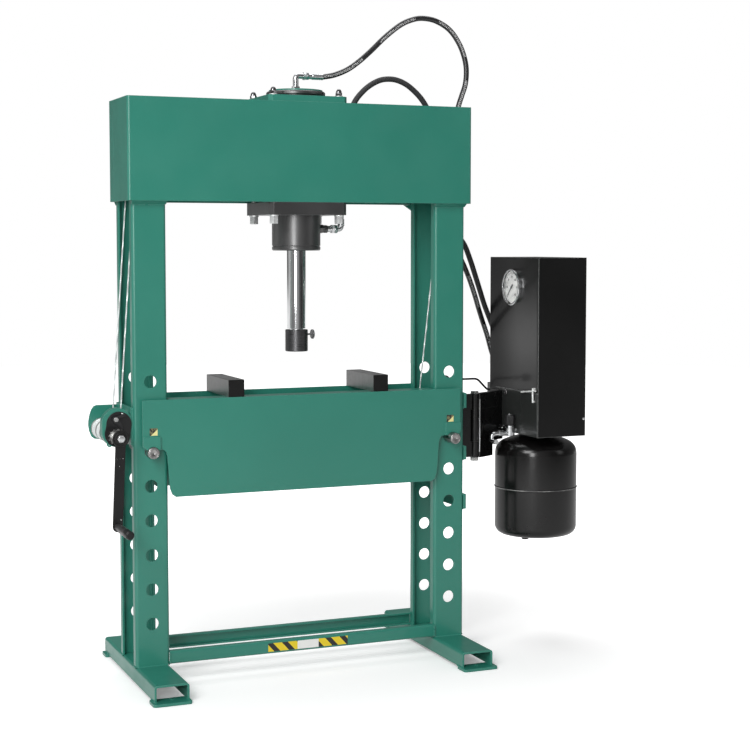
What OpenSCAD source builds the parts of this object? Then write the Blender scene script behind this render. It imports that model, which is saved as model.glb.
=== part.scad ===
// Electro-hydraulic shop press: a two-column welded frame, a height-adjustable bed on pins and ropes,
// a hydraulic cylinder in the head, a hand winch on the left and a swinging power unit on the right.
// Millimetres, +Z up, +X to the right, +Y to the back. Origin on the floor, midway between the columns.

/* [Columns] */
// Distance of each column's centre from the middle of the press
col_x = 470; // [460:1:480]
// Width of a column channel
col_w = 100; // [90:1:104]
// Depth of a column channel's flanges
col_d = 28; // [20:1:30]
// Plate thickness of the columns, the head and the feet
plate = 6; // [4:0.5:7]
// Distance of a column's outer web face from the centre plane
col_y = 94; // [92:0.5:95]
// Height of the lowest pin hole
hole_z = 178; // [160:1:190]
// Distance between pin holes
pitch = 100; // [95:1:100]
// Number of pin holes in each column
hole_n = 8; // [4:1:8]
// Radius of a pin hole
hole_r = 18.5; // [18:0.1:20]

/* [Head] */
// Half length of the head
head_hx = 534; // [530:1:560]
// Underside of the head plates
head_z0 = 1392; // [1380:1:1395]
// Upper side of the head plates
head_z1 = 1684; // [1680:1:1700]
// Front face of the head, measured forward from the centre plane
head_front = 114; // [112:1:116]
// Rear face of the head
head_back = 112; // [111:0.5:114]

/* [Cylinder] */
// Sideways position of the cylinder's axis
cyl_x = 6; // [0:1:12]
// Outer radius of the cylinder barrel
barrel_r = 72.5; // [68:0.5:80]
// Radius of the cylinder's bore
bore_r = 55; // [50:0.5:60]
// Radius of the piston rod
rod_r = 28; // [24:0.5:32]
// Lower end of the barrel
barrel_z = 1250; // [1230:1:1260]

/* [Bed] */
// Height of the bed's upper edge at rest on the pins
bed_z = 827; // [820:1:830]
// Half length of the bed
bed_hx = 499; // [490:1:505]
// Radius of the two pins that carry the bed
pin_r = 17; // [15:0.1:17]

/* [Feet] */
// Half length of a foot channel
foot_hy = 299; // [280:1:310]
// Radius of the anchor holes in the foot pads
anchor_r = 7; // [5:0.5:8]
// Distance of each anchor hole from the middle, front and back
anchor_y = 286; // [280:1:290]

/* [Power unit] */
// Position of the hinge pin that carries the power unit
hinge_x = 603; // [600:1:610]
// Half width of the control box, front and back of the hinge line
box_hy = 167; // [160:1:170]
// Upper side of the control box
box_z1 = 1227; // [1200:1:1240]
// Radius of the oil tank
tank_r = 131; // [120:1:135]

/* [Hidden] */
$fn = 48;
run = 0.05;                                   // radial clearance of a running fit
pin_z = hole_z + 5 * pitch - hole_r + pin_r + 0.3;
green = [0.23, 0.52, 0.45];
black = [0.05, 0.05, 0.055];
steel = [0.62, 0.62, 0.63];
bright = [0.85, 0.85, 0.87];

// Winch: the drum turns on one axis, and the crank's pinion runs inside the drum's ring gear
tooth_m = 1.3;
ring_n = 33;
pinion_n = 12;
crank_x = -568.5;
crank_z = 725;
mesh_a = 138;                                 // direction from the crank's axis to the drum's axis
mesh_d = (ring_n - pinion_n) * tooth_m / 2;
drum_x = crank_x + mesh_d * cos(mesh_a);
drum_z = crank_z + mesh_d * sin(mesh_a);
rope_r = 2.5;
core_r = 25.5;
coil_r = core_r + rope_r;
pulley_z = 1560;
pulley_l = -456;                              // the double pulley on the left
pulley_r = 477;
rope_a_y = 78;                                // the rope that crosses behind the barrel
rope_y = 12;
fall_a = 6.5;                                 // lean of the right fall
groove_r = 23.5;
rope_top = groove_r + rope_r + 0.8;           // radius of the rope's centre line round a pulley

// Arm of the crank, from its shaft down to the grip
arm_a = -92.6;
arm_len = 250;
grip_x = crank_x + arm_len * cos(arm_a);
grip_z = crank_z + arm_len * sin(arm_a);

// Pawl: pivot above the ratchet wheel
pawl_x = -572.5;
pawl_z = 775;
pawl_lift = 10;

// Route of the pressure hose, from the cylinder's cap fitting to the valve behind the box
hose_r = 8;
route_p = [[92.5, 0, 1769], [128, 0, 1776], [169, -3, 1793], [208, -6, 1820], [247, -8, 1854],
    [291, -11, 1896], [340, -14, 1934], [380, -17, 1952], [414, -20, 1957], [455, -24, 1950],
    [498, -27, 1926], [528, -31, 1887], [545, -34, 1846], [551, -38, 1806], [546, -42, 1761],
    [531, -46, 1722], [518, -49, 1686], [514, -48, 1645], [512, -40, 1590], [511, -26, 1540],
    [509, -6, 1490], [508, 12, 1440], [511, 28, 1385], [528, 42, 1325], [558, 53, 1262],
    [594, 62, 1200], [625, 84, 1154], [655, 110, 1107], [684, 140, 1062], [712, 166, 1017],
    [738, 186, 972], [757, 196, 925], [769, 196, 886], [770, 196, 846.2]];
// Route of the return hose, from the cylinder's side port up through the head and down again
return_r = 8.5;
route_r = [[150, 0, 1345], [150, 0, 1390], [151, 0, 1440], [153, 1, 1500], [158, 3, 1560],
    [168, 5, 1615], [182, 8, 1662], [201, 10, 1702], [227, 12, 1732], [254, 14, 1753],
    [285, 17, 1768], [314, 19, 1773], [343, 21, 1771], [374, 23, 1760], [402, 26, 1742],
    [428, 29, 1719], [449, 32, 1692], [470, 35, 1656], [487, 38, 1612], [498, 40, 1564],
    [505, 41, 1510], [511, 43, 1455], [516, 46, 1402], [532, 51, 1347], [560, 56, 1305],
    [594, 62, 1268], [626, 84, 1220], [656, 110, 1172], [688, 140, 1122], [719, 168, 1072],
    [749, 188, 1024], [776, 198, 970], [793, 198, 914], [798, 196, 878], [798, 196, 846.2]];

// A rectangle with round corners, its lower left corner at the origin
module round_rect(w, d, r) {
    translate([r, 0]) square([w - 2 * r, d]);
    translate([0, r]) square([w, d - 2 * r]);
    for (x = [r, w - r], y = [r, d - r]) translate([x, y]) circle(r);
}

// A folded channel section: the web lies along X at y = 0 and the flanges run towards +Y
module channel_2d(w, d, t, r) {
    difference() {
        channel_fill(w, d, r);
        translate([0, t]) channel_fill(w - 2 * t, d, max(r - t, 1));
    }
}
module channel_fill(w, d, r) {
    translate([-w / 2 + r, 0]) square([w - 2 * r, d]);
    translate([-w / 2, r]) square([w, d - r]);
    for (s = [-1, 1]) translate([s * (w / 2 - r), r]) circle(r);
}

// A plate or block standing in the XZ plane, from y0 to y1
module in_xz(y0, y1) {
    translate([0, y1, 0]) rotate([90, 0, 0]) linear_extrude(y1 - y0) children();
}
// A round bar along Y, from y0 to y1
module bar_y(x, z, r, y0, y1) {
    translate([x, y0, z]) rotate([-90, 0, 0]) cylinder(r = r, h = y1 - y0);
}
module bar_x(y, z, r, x0, x1) {
    translate([x0, y, z]) rotate([0, 90, 0]) cylinder(r = r, h = x1 - x0);
}
module box(x0, x1, y0, y1, z0, z1) {
    translate([x0, y0, z0]) cube([x1 - x0, y1 - y0, z1 - z0]);
}
module ring(r1, r0, h) {
    difference() {
        cylinder(r = r1, h = h);
        translate([0, 0, -1]) cylinder(r = r0, h = h + 2);
    }
}
module hex(af, h) {
    cylinder(r = af / sqrt(3), h = h, $fn = 6);
}

// Hexagon nut, its flats across af, with a round hole
module nut(af, r, h) {
    difference() {
        hex(af, h);
        translate([0, 0, -1]) cylinder(r = r, h = h + 2);
    }
}

// A smooth tube through route points, swept as one polyhedron
function spline(p, t) =
    let (n = len(p) - 1, i = min(floor(t * n), n - 1), u = t * n - i,
         a = p[max(i - 1, 0)], b = p[i], c = p[i + 1], d = p[min(i + 2, n)])
    0.5 * (2 * b + (c - a) * u + (2 * a - 5 * b + 4 * c - d) * u * u
        + (3 * b - a - 3 * c + d) * u * u * u);
function unit(v) = v / norm(v);
function turned(v, d) = unit(v - (v * d) * d);
function frames(dirs, up, i = 0) =
    i == len(dirs) ? [] : concat([turned(up, dirs[i])], frames(dirs, turned(up, dirs[i]), i + 1));
module sweep(c, r, sides, up) {
    n_c = len(c) - 1;
    d = [for (i = [0:n_c]) unit(c[min(i + 1, n_c)] - c[max(i - 1, 0)])];
    n = frames(d, up);
    q = r / sqrt(cos(180 / sides));
    points = [for (i = [0:n_c], k = [0:sides - 1])
        c[i] + q * (cos(360 * k / sides) * n[i] + sin(360 * k / sides) * cross(d[i], n[i]))];
    walls = [for (i = [0:n_c - 1], k = [0:sides - 1])
        [i * sides + k, (i + 1) * sides + k, (i + 1) * sides + (k + 1) % sides,
         i * sides + (k + 1) % sides]];
    polyhedron(points, concat(walls, [[for (k = [0:sides - 1]) k]],
        [[for (k = [sides - 1:-1:0]) n_c * sides + k]]), convexity = 6);
}
module tube(p, r, rings) {
    sweep([for (i = [0:rings]) spline(p, i / rings)], r, 10, [0, 1, 0]);
}

// Involute gear outline with its first tooth on the X axis; thin takes material off each flank
function involute(rb, t) = [rb * (cos(t) + t * PI / 180 * sin(t)), rb * (sin(t) - t * PI / 180 * cos(t))];
function spin(p, a) = [p[0] * cos(a) - p[1] * sin(a), p[0] * sin(a) + p[1] * cos(a)];
function flip(p) = [p[0], -p[1]];
function roll_to(rb, r) = sqrt(max((r / rb) * (r / rb) - 1, 0)) * 180 / PI;
module gear_2d(n, m, r_tip, r_root, thin) {
    rp = n * m / 2;
    rb = rp * cos(20);
    half = 90 / n + 0.8539 - thin / rp * 180 / PI;
    r_low = max(rb, r_root);
    flank = [for (i = [0:5]) let (r = r_low + (r_tip - r_low) * i / 5)
        spin(involute(rb, roll_to(rb, r)), -half)];
    foot = unit(spin(involute(rb, roll_to(rb, r_low)), -half)) * r_root;
    tooth = concat([foot], flank, [for (i = [5:-1:0]) flip(flank[i])], [flip(foot)]);
    polygon([for (k = [0:n - 1], p = tooth) spin(p, 360 * k / n)]);
}

// ---------- Frame ----------

module column(side, back) {
    color(green) difference() {
        translate([side * col_x, 0, 54]) mirror([0, back ? 1 : 0, 0]) translate([0, -col_y, 0])
            linear_extrude(1626) channel_2d(col_w, col_d, plate, 9);
        for (k = [0:hole_n - 1])
            bar_y(side * col_x, hole_z + k * pitch, hole_r, back ? col_y - 10 : -col_y - 10,
                back ? col_y + 10 : -col_y + 10);
        bar_y(side < 0 ? pulley_l : pulley_r, pulley_z, 10 + run, back ? 60 : -100, back ? 100 : -60);
        if (back && side < 0) bar_x(rope_a_y, pulley_z + rope_top, 9, -430, -415);
    }
}
module column_front_left() column(-1, false);
module column_front_right() column(1, false);
module column_rear_left() column(-1, true);
module column_rear_right() column(1, true);

// Front of the head: one folded plate whose ends turn back to the weld with the rear plate
module head_front_plate() {
    color(green) translate([0, -head_front, head_z0]) linear_extrude(head_z1 - head_z0)
        channel_2d(2 * head_hx, head_front + 57, plate, 8);
}
module head_rear_plate() {
    color(green) translate([0, head_back, head_z0]) mirror([0, 1, 0])
        linear_extrude(head_z1 - head_z0) channel_2d(2 * head_hx, head_back - 57.5, plate, 12);
}
// Upright ribs either side of the cylinder, a guide post that turns the rope past the barrel,
// and the bars that tie the two head plates
module head_ribs() {
    color(green) {
        difference() {
            for (x = [cyl_x - 133, cyl_x + 123])
                box(x, x + 10, -head_front + plate, head_back - plate, head_z0 + 6, head_z1 - 4);
            bar_x(rope_a_y, pulley_z + rope_top, 9, -150, 150);
        }
        box(104, 130, 60, 78, 1562, 1570);
        translate([112, 70, 1568]) cylinder(r = 8, h = 34);
        for (x = [-330, 330])
            box(x - 5, x + 5, -head_front + plate, head_back - plate, head_z0 + 8, head_z0 + 68);
    }
}
// Packers between the columns and the head plates, tapered below, and the corner gussets
module head_packers() {
    color(green) for (s = [-1, 1]) {
        for (y = [-1, 1]) packer(s, y);
        translate([s * (col_x - col_w / 2), col_y - 6, head_z0 - 1]) rotate([90, 0, 0]) linear_extrude(6)
            polygon([[0, 0], [-s * 26, 0], [0, -17]]);
    }
}
module packer(s, y) {
    face = y < 0 ? -head_front + plate : head_back - plate;
    x = s * col_x;
    intersection() {
        translate([x - 51.5, 0, 0]) rotate([90, 0, 90]) linear_extrude(103)
            polygon([[y * col_y, 1382], [face, 1393], [face, 1640], [y * col_y, 1640]]);
        in_xz(-120, 120) polygon([[x - 50, 1381], [x + 50, 1381], [x + 52, 1393], [x + 52, 1641],
            [x - 52, 1641], [x - 52, 1393]]);
    }
}
module cylinder_top_plate() {
    color(green) difference() {
        translate([cyl_x, 0, head_z1]) chamfered_plate(122, 114, 10, 18);
        translate([cyl_x, 0, head_z1 - 1]) cylinder(r = barrel_r + run, h = 20, $fn = 96);
        bolt_spots() translate([0, 0, head_z1 - 1]) cylinder(r = 7.5, h = 20);
    }
}
module chamfered_plate(hx, hy, c, t) {
    linear_extrude(t) polygon([[-hx + c, -hy], [hx - c, -hy], [hx, -hy + c], [hx, hy - c],
        [hx - c, hy], [-hx + c, hy], [-hx, hy - c], [-hx, -hy + c]]);
}
module bolt_spots() {
    for (x = [-102, 102], y = [-92, 92]) translate([cyl_x + x, y, 0]) children();
}
module cylinder_flange() {
    color(black) difference() {
        translate([cyl_x, 0, head_z0 - 37]) chamfered_plate(121, 114, 12, 37);
        translate([cyl_x, 0, head_z0 - 40]) cylinder(r = barrel_r + run, h = 44, $fn = 96);
        bolt_spots() translate([0, 0, head_z0 - 40]) cylinder(r = 7.5, h = 44);
    }
}
// Tie bolts with hexagon heads below, and domed cap nuts with bright centres above
module tie_bolts() {
    color(steel) bolt_spots() {
        translate([0, 0, head_z0 - 41]) cylinder(r = 14.5, h = 4);
        translate([0, 0, head_z0 - 63]) hex(24, 22);
        translate([0, 0, head_z0 - 42]) cylinder(r = 7, h = 360);
        translate([0, 0, head_z1 + 18]) cylinder(r = 12, h = 3);
        translate([0, 0, head_z1 + 21]) hex(18, 9);
        translate([0, 0, head_z1 + 30]) rotate_extrude()
            polygon([[0, 0], [9, 0], [9, 6], [7, 10], [0, 12]]);
    }
}
module cylinder_barrel() {
    color(black) translate([cyl_x, 0, 0]) difference() {
        rotate_extrude($fn = 96) polygon([[rod_r + run, barrel_z], [barrel_r - 3, barrel_z],
            [barrel_r, barrel_z + 3], [barrel_r, 1261], [barrel_r - 2, 1262], [barrel_r - 2, 1264],
            [barrel_r, 1265], [barrel_r, 1712], [bore_r, 1712], [bore_r, 1292],
            [rod_r + run, 1292]]);
        translate([bore_r - 6, 0, 1314.7]) rotate([0, 90, 0]) cylinder(r = 8, h = 30);
    }
}
module lock_ring() {
    color(black) translate([cyl_x, 0, head_z1 + 18]) difference() {
        rotate_extrude($fn = 96) polygon([[barrel_r + run, 0], [81, 0], [81, 5], [88, 8], [88, 15],
            [85.5, 18], [80.5, 18], [80.5, 10], [barrel_r + run, 10]]);
        for (a = [45:90:315]) rotate([0, 90, a]) translate([-11.5, 0, 81]) cylinder(r = 3, h = 12);
    }
}
module cylinder_cap() {
    color(green) translate([cyl_x, 0, 1712]) {
        ring(80, 9.5, 13, $fn = 96);
        translate([0, 0, -14]) ring(bore_r - run, 9.5, 14, $fn = 96);
    }
}
// Screwed elbow on the cap, with the swivel nut and the hose's ferrule
module top_fitting() {
    color(bright) {
        translate([cyl_x, 0, 1706]) cylinder(r = 9, h = 26);
        translate([cyl_x, 0, 1725]) hex(22, 13);
        translate([cyl_x, 0, 1738]) cylinder(r = 9, h = 31);
        translate([cyl_x, 0, 1769]) sphere(r = 9);
        bar_x(0, 1769, 8, cyl_x, 30);
        translate([29, 0, 1769]) rotate([0, 90, 0]) hex(21, 17);
        bar_x(0, 1769, 8.5, 46, 58);
        translate([57, 0, 1769]) rotate([0, 90, 0]) rotate_extrude()
            polygon([[0, 0], [9.7, 0], [9.7, 30], [8.6, 35.5], [0, 35.5]]);
    }
}
module side_fitting() {
    color(bright) {
        bar_x(0, 1314.7, 7.9, cyl_x + bore_r + 2, cyl_x + barrel_r + 1);
        translate([cyl_x + barrel_r + 0.5, 0, 1314.7]) rotate([0, 90, 0]) hex(24, 26);
        bar_x(0, 1314.7, 9.5, 104, 118);
        translate([117, 0, 1314.7]) rotate([0, 90, 0]) hex(24, 20);
        bar_x(0, 1314.7, 8.5, 136, 150);
        translate([150, 0, 1314.7]) sphere(r = 8.5);
        translate([150, 0, 1314.7]) cylinder(r = 8.5, h = 9);
        translate([150, 0, 1323]) cylinder(r = 10.5, h = 22);
    }
}
module foot(s) {
    color(green) {
        translate([s * col_x, foot_hy, 54]) rotate([90, 180, 0]) linear_extrude(2 * foot_hy)
            difference() {
                channel_fill(100, 46, 9);
                translate([0, plate]) channel_fill(100 - 2 * plate, 47, 4);
            }
        for (y = [-1, 1]) pad(s, y);
    }
}
// Floor pad under each end of a foot, with the hole for the floor anchor
module pad(s, y) {
    translate([s * 472.5 - 55.5, y < 0 ? -322 : 258, 0]) difference() {
        linear_extrude(8) round_rect(111, y < 0 ? 57 : 53, 9);
        translate([55.5 - s * 2.5, y < 0 ? 322 - anchor_y : anchor_y - 258, -1])
            cylinder(r = anchor_r, h = 10);
    }
}
module foot_left() foot(-1);
module foot_right() foot(1);
module rail(y, back) {
    color(green) translate([-col_x + col_w / 2, y, 75]) rotate([90, 0, 90])
        linear_extrude(2 * col_x - col_w) mirror([back ? 1 : 0, 0]) rotate(-90) channel_2d(38, 20, 5, 6);
}
module rail_front() rail(-97, false);
module rail_rear() rail(100, true);
// Ties across the right column, which also carry the power unit's bracket
module side_ties() {
    color(green) for (z = [[764, 810], [603, 645], [449, 495]])
        box(col_x + col_w / 2, col_x + col_w / 2 + 9, -col_y, col_y, z[0], z[1]);
}

// ---------- Ram ----------

module ram_rod() {
    color(bright) translate([cyl_x, 0, 0]) {
        translate([0, 0, 966]) cylinder(r = 22, h = 52);
        translate([0, 0, 1017]) cylinder(r = rod_r, h = 364, $fn = 64);
        translate([0, 0, 1380]) difference() {
            cylinder(r = bore_r - run, h = 50, $fn = 96);
            translate([0, 0, 20]) ring(bore_r + 1, bore_r - 4, 10, $fn = 96);
        }
    }
}
module press_head() {
    color(steel) translate([cyl_x, 0, 0]) difference() {
        rotate_extrude($fn = 96) polygon([[0, 948], [32.5, 948], [34, 949.5], [34, 1011.5],
            [32.5, 1013], [22 + run, 1013], [22 + run, 965.9], [0, 965.9]]);
        translate([20, 0, 998]) rotate([0, 90, 0]) cylinder(r = 3 + run, h = 20);
    }
}
module thumb_screw() {
    color(steel) {
        bar_x(0, 998, 3, cyl_x + 22.3, 55);
        translate([53.5, 0, 998]) rotate([0, 90, 0]) rotate_extrude($fn = 64)
            polygon([[0, 0], [13, 0], [14.4, 1.2], [14.4, 5.2], [13, 6.4], [0, 6.4]]);
    }
}

// ---------- Bed ----------

module bed_outline() {
    side = [[bed_hx, bed_z], [bed_hx, 695], [489, 685], [440, 684.5], [435, 682], [430, 676], [427, 663],
        [425, 640], [421.5, 590], [419, 569], [413, 553], [403, 546]];
    polygon(concat(side, [for (i = [len(side) - 1:-1:0]) [-side[i][0], side[i][1]]]));
}
module saddle(s, y0, y1) {
    difference() {
        in_xz(y0, y1) polygon([[s * 498, 696], [s * 487, 685], [s * 448, 685], [s * 448, 722],
            [s * 498, 722]]);
        bar_y(s * col_x, pin_z, pin_r + 0.4, y0 - 1, y1 + 1);
    }
}
// Front of the bed: a plate with its upper and lower edges folded inward between the columns
module bed_front() {
    color(green) {
        difference() {
            in_xz(-114, -108) bed_outline();
            for (s = [-1, 1]) bar_y(s * col_x, pin_z, pin_r + 0.4, -120, -100);
        }
        box(-414, 414, -109, -56, bed_z - 6, bed_z);
        box(-398, 398, -109, -60, 546, 552);
        for (s = [-1, 1]) saddle(s, -120, -113.5);
    }
}
module bed_rear() {
    color(green) {
        difference() {
            in_xz(104, 110) bed_outline();
            for (s = [-1, 1]) bar_y(s * col_x, pin_z, pin_r + 0.4, 98, 116);
        }
        for (s = [-1, 1]) saddle(s, 109.5, 116);
    }
}
// Plates and bars that join the bed's two sides, and the eyes that the ropes are fixed to
module bed_cross() {
    color(green) for (s = [-1, 1]) {
        box(s * 219 - 5, s * 219 + 5, -108, 104, 566, 780);
        box(s * 405 - 10, s * 405 + 10, -108, 104, 760, 772);
        translate([s * 415, s * rope_y, 766]) rotate([0, s * 90, 0]) cylinder(r = 7, h = 4, center = true);
        translate([s * 415, s * rope_y, 766]) cylinder(r = 4, h = 24);
    }
}
module press_blocks() {
    color(steel) for (x = [-243, 211]) box(x, x + 48, -110, 112, bed_z, bed_z + 50);
}
module pin(s, y0, y1) {
    color(steel) translate([s * col_x, y0, pin_z]) rotate([-90, 0, 0]) rotate_extrude()
        polygon([[0, 1.5], [2, 0], [pin_r - 2, 0], [pin_r, 2], [pin_r, y1 - y0 - 2],
            [pin_r - 2, y1 - y0], [0, y1 - y0]]);
}
module pin_left() pin(-1, -128, 162);
module pin_right() pin(1, -144, 146);

// ---------- Winch and ropes ----------

module winch_frame() {
    color(green) difference() {
        union() {
            box(-526, -520, -86.5, 90, 698, 806);
            in_xz(57, 62) polygon([[-522, 702], [-581, 702], [-599, 704], [-608, 711], [-614, 727],
                [-616.5, 744], [-616, 756], [-612, 776], [-607, 790], [-600, 799], [-592, 802],
                [-522, 802]]);
            in_xz(-62, -57) housing_2d(0);
            in_xz(-87, -61) difference() {
                housing_2d(3);
                housing_2d(0);
            }
            in_xz(-87, -84) difference() {
                housing_2d(1);
                translate([crank_x, crank_z]) circle(15);
            }
        }
        bar_y(drum_x, drum_z, 8 + run, -70, 70);
    }
}
module housing_2d(t) {
    translate([-566, 738]) circle(40 + t);
    translate([-606 - t, 738]) square([80 + 2 * t, 25]);
    translate([-566, 763]) circle(40 + t);
}
// Black lid of the gear housing, with the crank's bearing and the pawl's pivot screw
module winch_cover() {
    color(black) difference() {
        union() {
            in_xz(-90, -87) {
                translate([-565, 733]) circle(37);
                polygon([[-602, 733], [-597, 760], [-525, 760], [-528, 733]]);
                translate([-561, 760]) circle(36);
            }
            bar_y(crank_x, crank_z, 14, -91, -86);
            bar_y(pawl_x, pawl_z, 5, -98, -88);
            translate([pawl_x, -97.5, pawl_z]) rotate([90, 0, 0]) cylinder(r = 8, h = 4);
        }
        bar_y(crank_x, crank_z, 8 + run, -100, -80);
    }
}
module winch_drum() {
    color(steel) {
        bar_y(drum_x, drum_z, 8, -66, 62);
        bar_y(drum_x, drum_z, core_r, -54, 54);
        for (y = [-56, -1.5, 53]) bar_y(drum_x, drum_z, 31, y, y + 3);
        bar_y(drum_x, drum_z, 26, -70, -65);
        in_xz(-83, -69) difference() {
            translate([drum_x, drum_z]) circle(26, $fn = 96);
            translate([drum_x, drum_z]) rotate(mesh_a + 180 / ring_n)
                gear_2d(ring_n, tooth_m, 23.3, 20.75, -0.1);
        }
    }
}
module rope_coils() {
    color(bright) for (y = [[3, 52], [-52, -3]]) translate([drum_x, y[0], drum_z]) rotate([-90, 0, 0])
        ring(coil_r + rope_r, core_r, y[1] - y[0]);
}
module crank_shaft() {
    color(steel) {
        bar_y(crank_x, crank_z, 8, -146, -83.2);
        in_xz(-83.3, -71.5) translate([crank_x, crank_z]) rotate(mesh_a + 180)
            gear_2d(pinion_n, tooth_m, 9.1, 6.8, 0.1);
        in_xz(-97, -91.5) translate([crank_x, crank_z]) rotate(24.5) polygon([for (i = [0:11], k = [0, 1])
            (k == 0 ? 20 : 24.5) * [cos(30 * i + 29 * k), sin(30 * i + 29 * k)]]);
        bar_y(crank_x, crank_z, 14, -132, -97);
    }
}
// Crank arm with its hub, the stud that the grip turns on, and the nut on the shaft
module crank_arm() {
    color(black) difference() {
        union() {
            translate([crank_x, 0, crank_z]) rotate([0, -arm_a - 90, 0]) {
                in_xz(-140, -132.2) {
                    circle(20);
                    translate([-13.5, -arm_len]) square([27, arm_len]);
                    translate([0, -arm_len]) circle(13.5);
                }
            }
            bar_y(grip_x, grip_z, 6, -286, -133);
            bar_y(grip_x, grip_z, 9.5, -290, -285.5);
            translate([crank_x, -140, crank_z]) rotate([90, 0, 0]) nut(21, 8.1, 9);
        }
        bar_y(crank_x, crank_z, 8.1, -142, -130);
    }
}
module crank_grip() {
    color(black) translate([grip_x, -285, grip_z]) rotate([-90, 0, 0]) rotate_extrude()
        polygon([[6 + run, 0], [11, 0], [12.5, 3], [12.5, 100], [11, 108], [9.5, 125], [9.5, 144],
            [6 + run, 144]]);
}
// Pawl, held lifted off the ratchet wheel by pawl_lift degrees
module pawl() {
    color(steel) in_xz(-97, -92) translate([pawl_x, pawl_z]) rotate(pawl_lift) difference() {
        union() {
            circle(9);
            polygon([[-8, -5], [10.9, -28.6], [13.8, -31.9], [17.3, -26.5], [9, 2]]);
            polygon([[0, 0], [30, 3], [31, 9], [3, 8]]);
        }
        circle(5 + run);
    }
}
module sheave(y0, y1) {
    rotate([-90, 0, 0]) translate([0, 0, y0]) rotate_extrude($fn = 96) polygon([[10 + run, 0], [29, 0],
        [29, 1], [groove_r, (y1 - y0) / 2 - 2], [groove_r, (y1 - y0) / 2 + 2], [29, y1 - y0 - 1],
        [29, y1 - y0], [10 + run, y1 - y0]]);
}
// Double pulley: the front groove carries the left fall, the rear one the rope to the right
module pulley_left() {
    color(steel) translate([pulley_l, 0, pulley_z]) {
        sheave(rope_a_y - 6.5, rope_a_y + 6.5);
        sheave(-rope_y - 7, -rope_y + 7);
        rotate([-90, 0, 0]) translate([0, 0, -6]) ring(16, 10 + run, 78);
    }
}
module pulley_right() {
    color(steel) translate([pulley_r, 0, pulley_z]) sheave(rope_y - 7, rope_y + 7);
}
module pulley_axles() {
    color(steel) for (x = [pulley_l, pulley_r]) {
        bar_y(x, pulley_z, 10, -col_y + 0.5, col_y - 0.5);
        for (y = x > 0 ? [-8, 19.5] : [-32]) translate([x, y, pulley_z])
            rotate([-90, 0, 0]) ring(15, 10, 12);
    }
}
// A straight length of wire rope between two points
module rope(a, b) {
    d = b - a;
    translate(a) rotate([0, acos(d[2] / norm(d)), atan2(d[1], d[0])])
        cylinder(r = rope_r, h = norm(d), $fn = 16);
}
function round_pulley(x, y, a0, a1) = [for (i = [0:8]) let (a = a0 + (a1 - a0) * i / 8)
    [x + rope_top * cos(a), y, pulley_z + rope_top * sin(a)]];
// Ropes from the winch drum up to the pulleys, and the one that crosses to the right
module rope_runs() {
    z = pulley_z + rope_top;
    color(bright) {
        sweep(concat([[drum_x + 30.5, 45, drum_z + 25]], round_pulley(pulley_l, rope_a_y, 175, 90),
            [[104, 80.9, z], [112, 81.2, z], [120, 80.5, z]], round_pulley(pulley_r, rope_y, 90, -fall_a)),
            rope_r, 8, [0, 1, 0]);
        sweep(concat([[drum_x + 30.5, -49, drum_z + 25]], round_pulley(pulley_l, -rope_y, 175, 0)),
            rope_r, 8, [0, 1, 0]);
    }
}
// The two falls that carry the bed: they shorten as it rises
module rope_falls() {
    color(bright) {
        rope([415, rope_y, 790.6],
            [pulley_r + rope_top * cos(fall_a), rope_y, pulley_z - rope_top * sin(fall_a)]);
        rope([-415, -rope_y, 790.6], [pulley_l + rope_top, -rope_y, pulley_z]);
    }
}

// ---------- Power unit ----------

module knuckle(z0, z1) {
    translate([hinge_x, 0, z0]) cylinder(r = 15, h = z1 - z0);
}
module hinge_bracket() {
    color(black) difference() {
        union() {
            box(529, 537, -58, 58, 597, 797);
            box(536, hinge_x - 17, -7, 7, 597, 797);
            for (z = [[597, 646], [748, 797]]) {
                knuckle(z[0], z[1]);
                box(hinge_x - 18, hinge_x, -7, 7, z[0], z[1]);
            }
        }
        translate([hinge_x, 0, 590]) cylinder(r = 8 + run, h = 220);
    }
}
module hinge_pin() {
    color(bright) translate([hinge_x, 0, 0]) {
        translate([0, 0, 583]) cylinder(r = 8, h = 216);
        translate([0, 0, 797.2]) hex(24, 8);
        translate([0, 0, 584]) hex(24, 12.8);
    }
}
module swing_arm() {
    color(black) difference() {
        union() {
            knuckle(646.5, 747.5);
            translate([0, 0, 646.5]) linear_extrude(101) polygon([[hinge_x - 4, -9], [hinge_x + 14, -4],
                [739, 70], [739, 84], [hinge_x + 12, 18], [hinge_x - 4, 9]]);
            translate([0, 0, 640]) linear_extrude(157) polygon([[624, 3], [739, 70], [739, 84], [624, 25]]);
            translate([0, 0, 592]) linear_extrude(50) polygon([[624, 3], [688, 40.3], [688, 54.8],
                [624, 25]]);
            box(736.6, 739.6, -60, 150, 680, 797);
        }
        translate([hinge_x, 0, 590]) cylinder(r = 8 + run, h = 220);
    }
}
// Sheet-metal cover of the control box: left, front, right and top
module box_cover() {
    color(black) difference() {
        box(739.6, 908, -box_hy, box_hy - 3, 668, box_z1);
        box(741.6, 906, -box_hy + 2, box_hy, 667, box_z1 - 2);
        bar_x(5, 1132, 46, 735, 745);
    }
}
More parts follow.
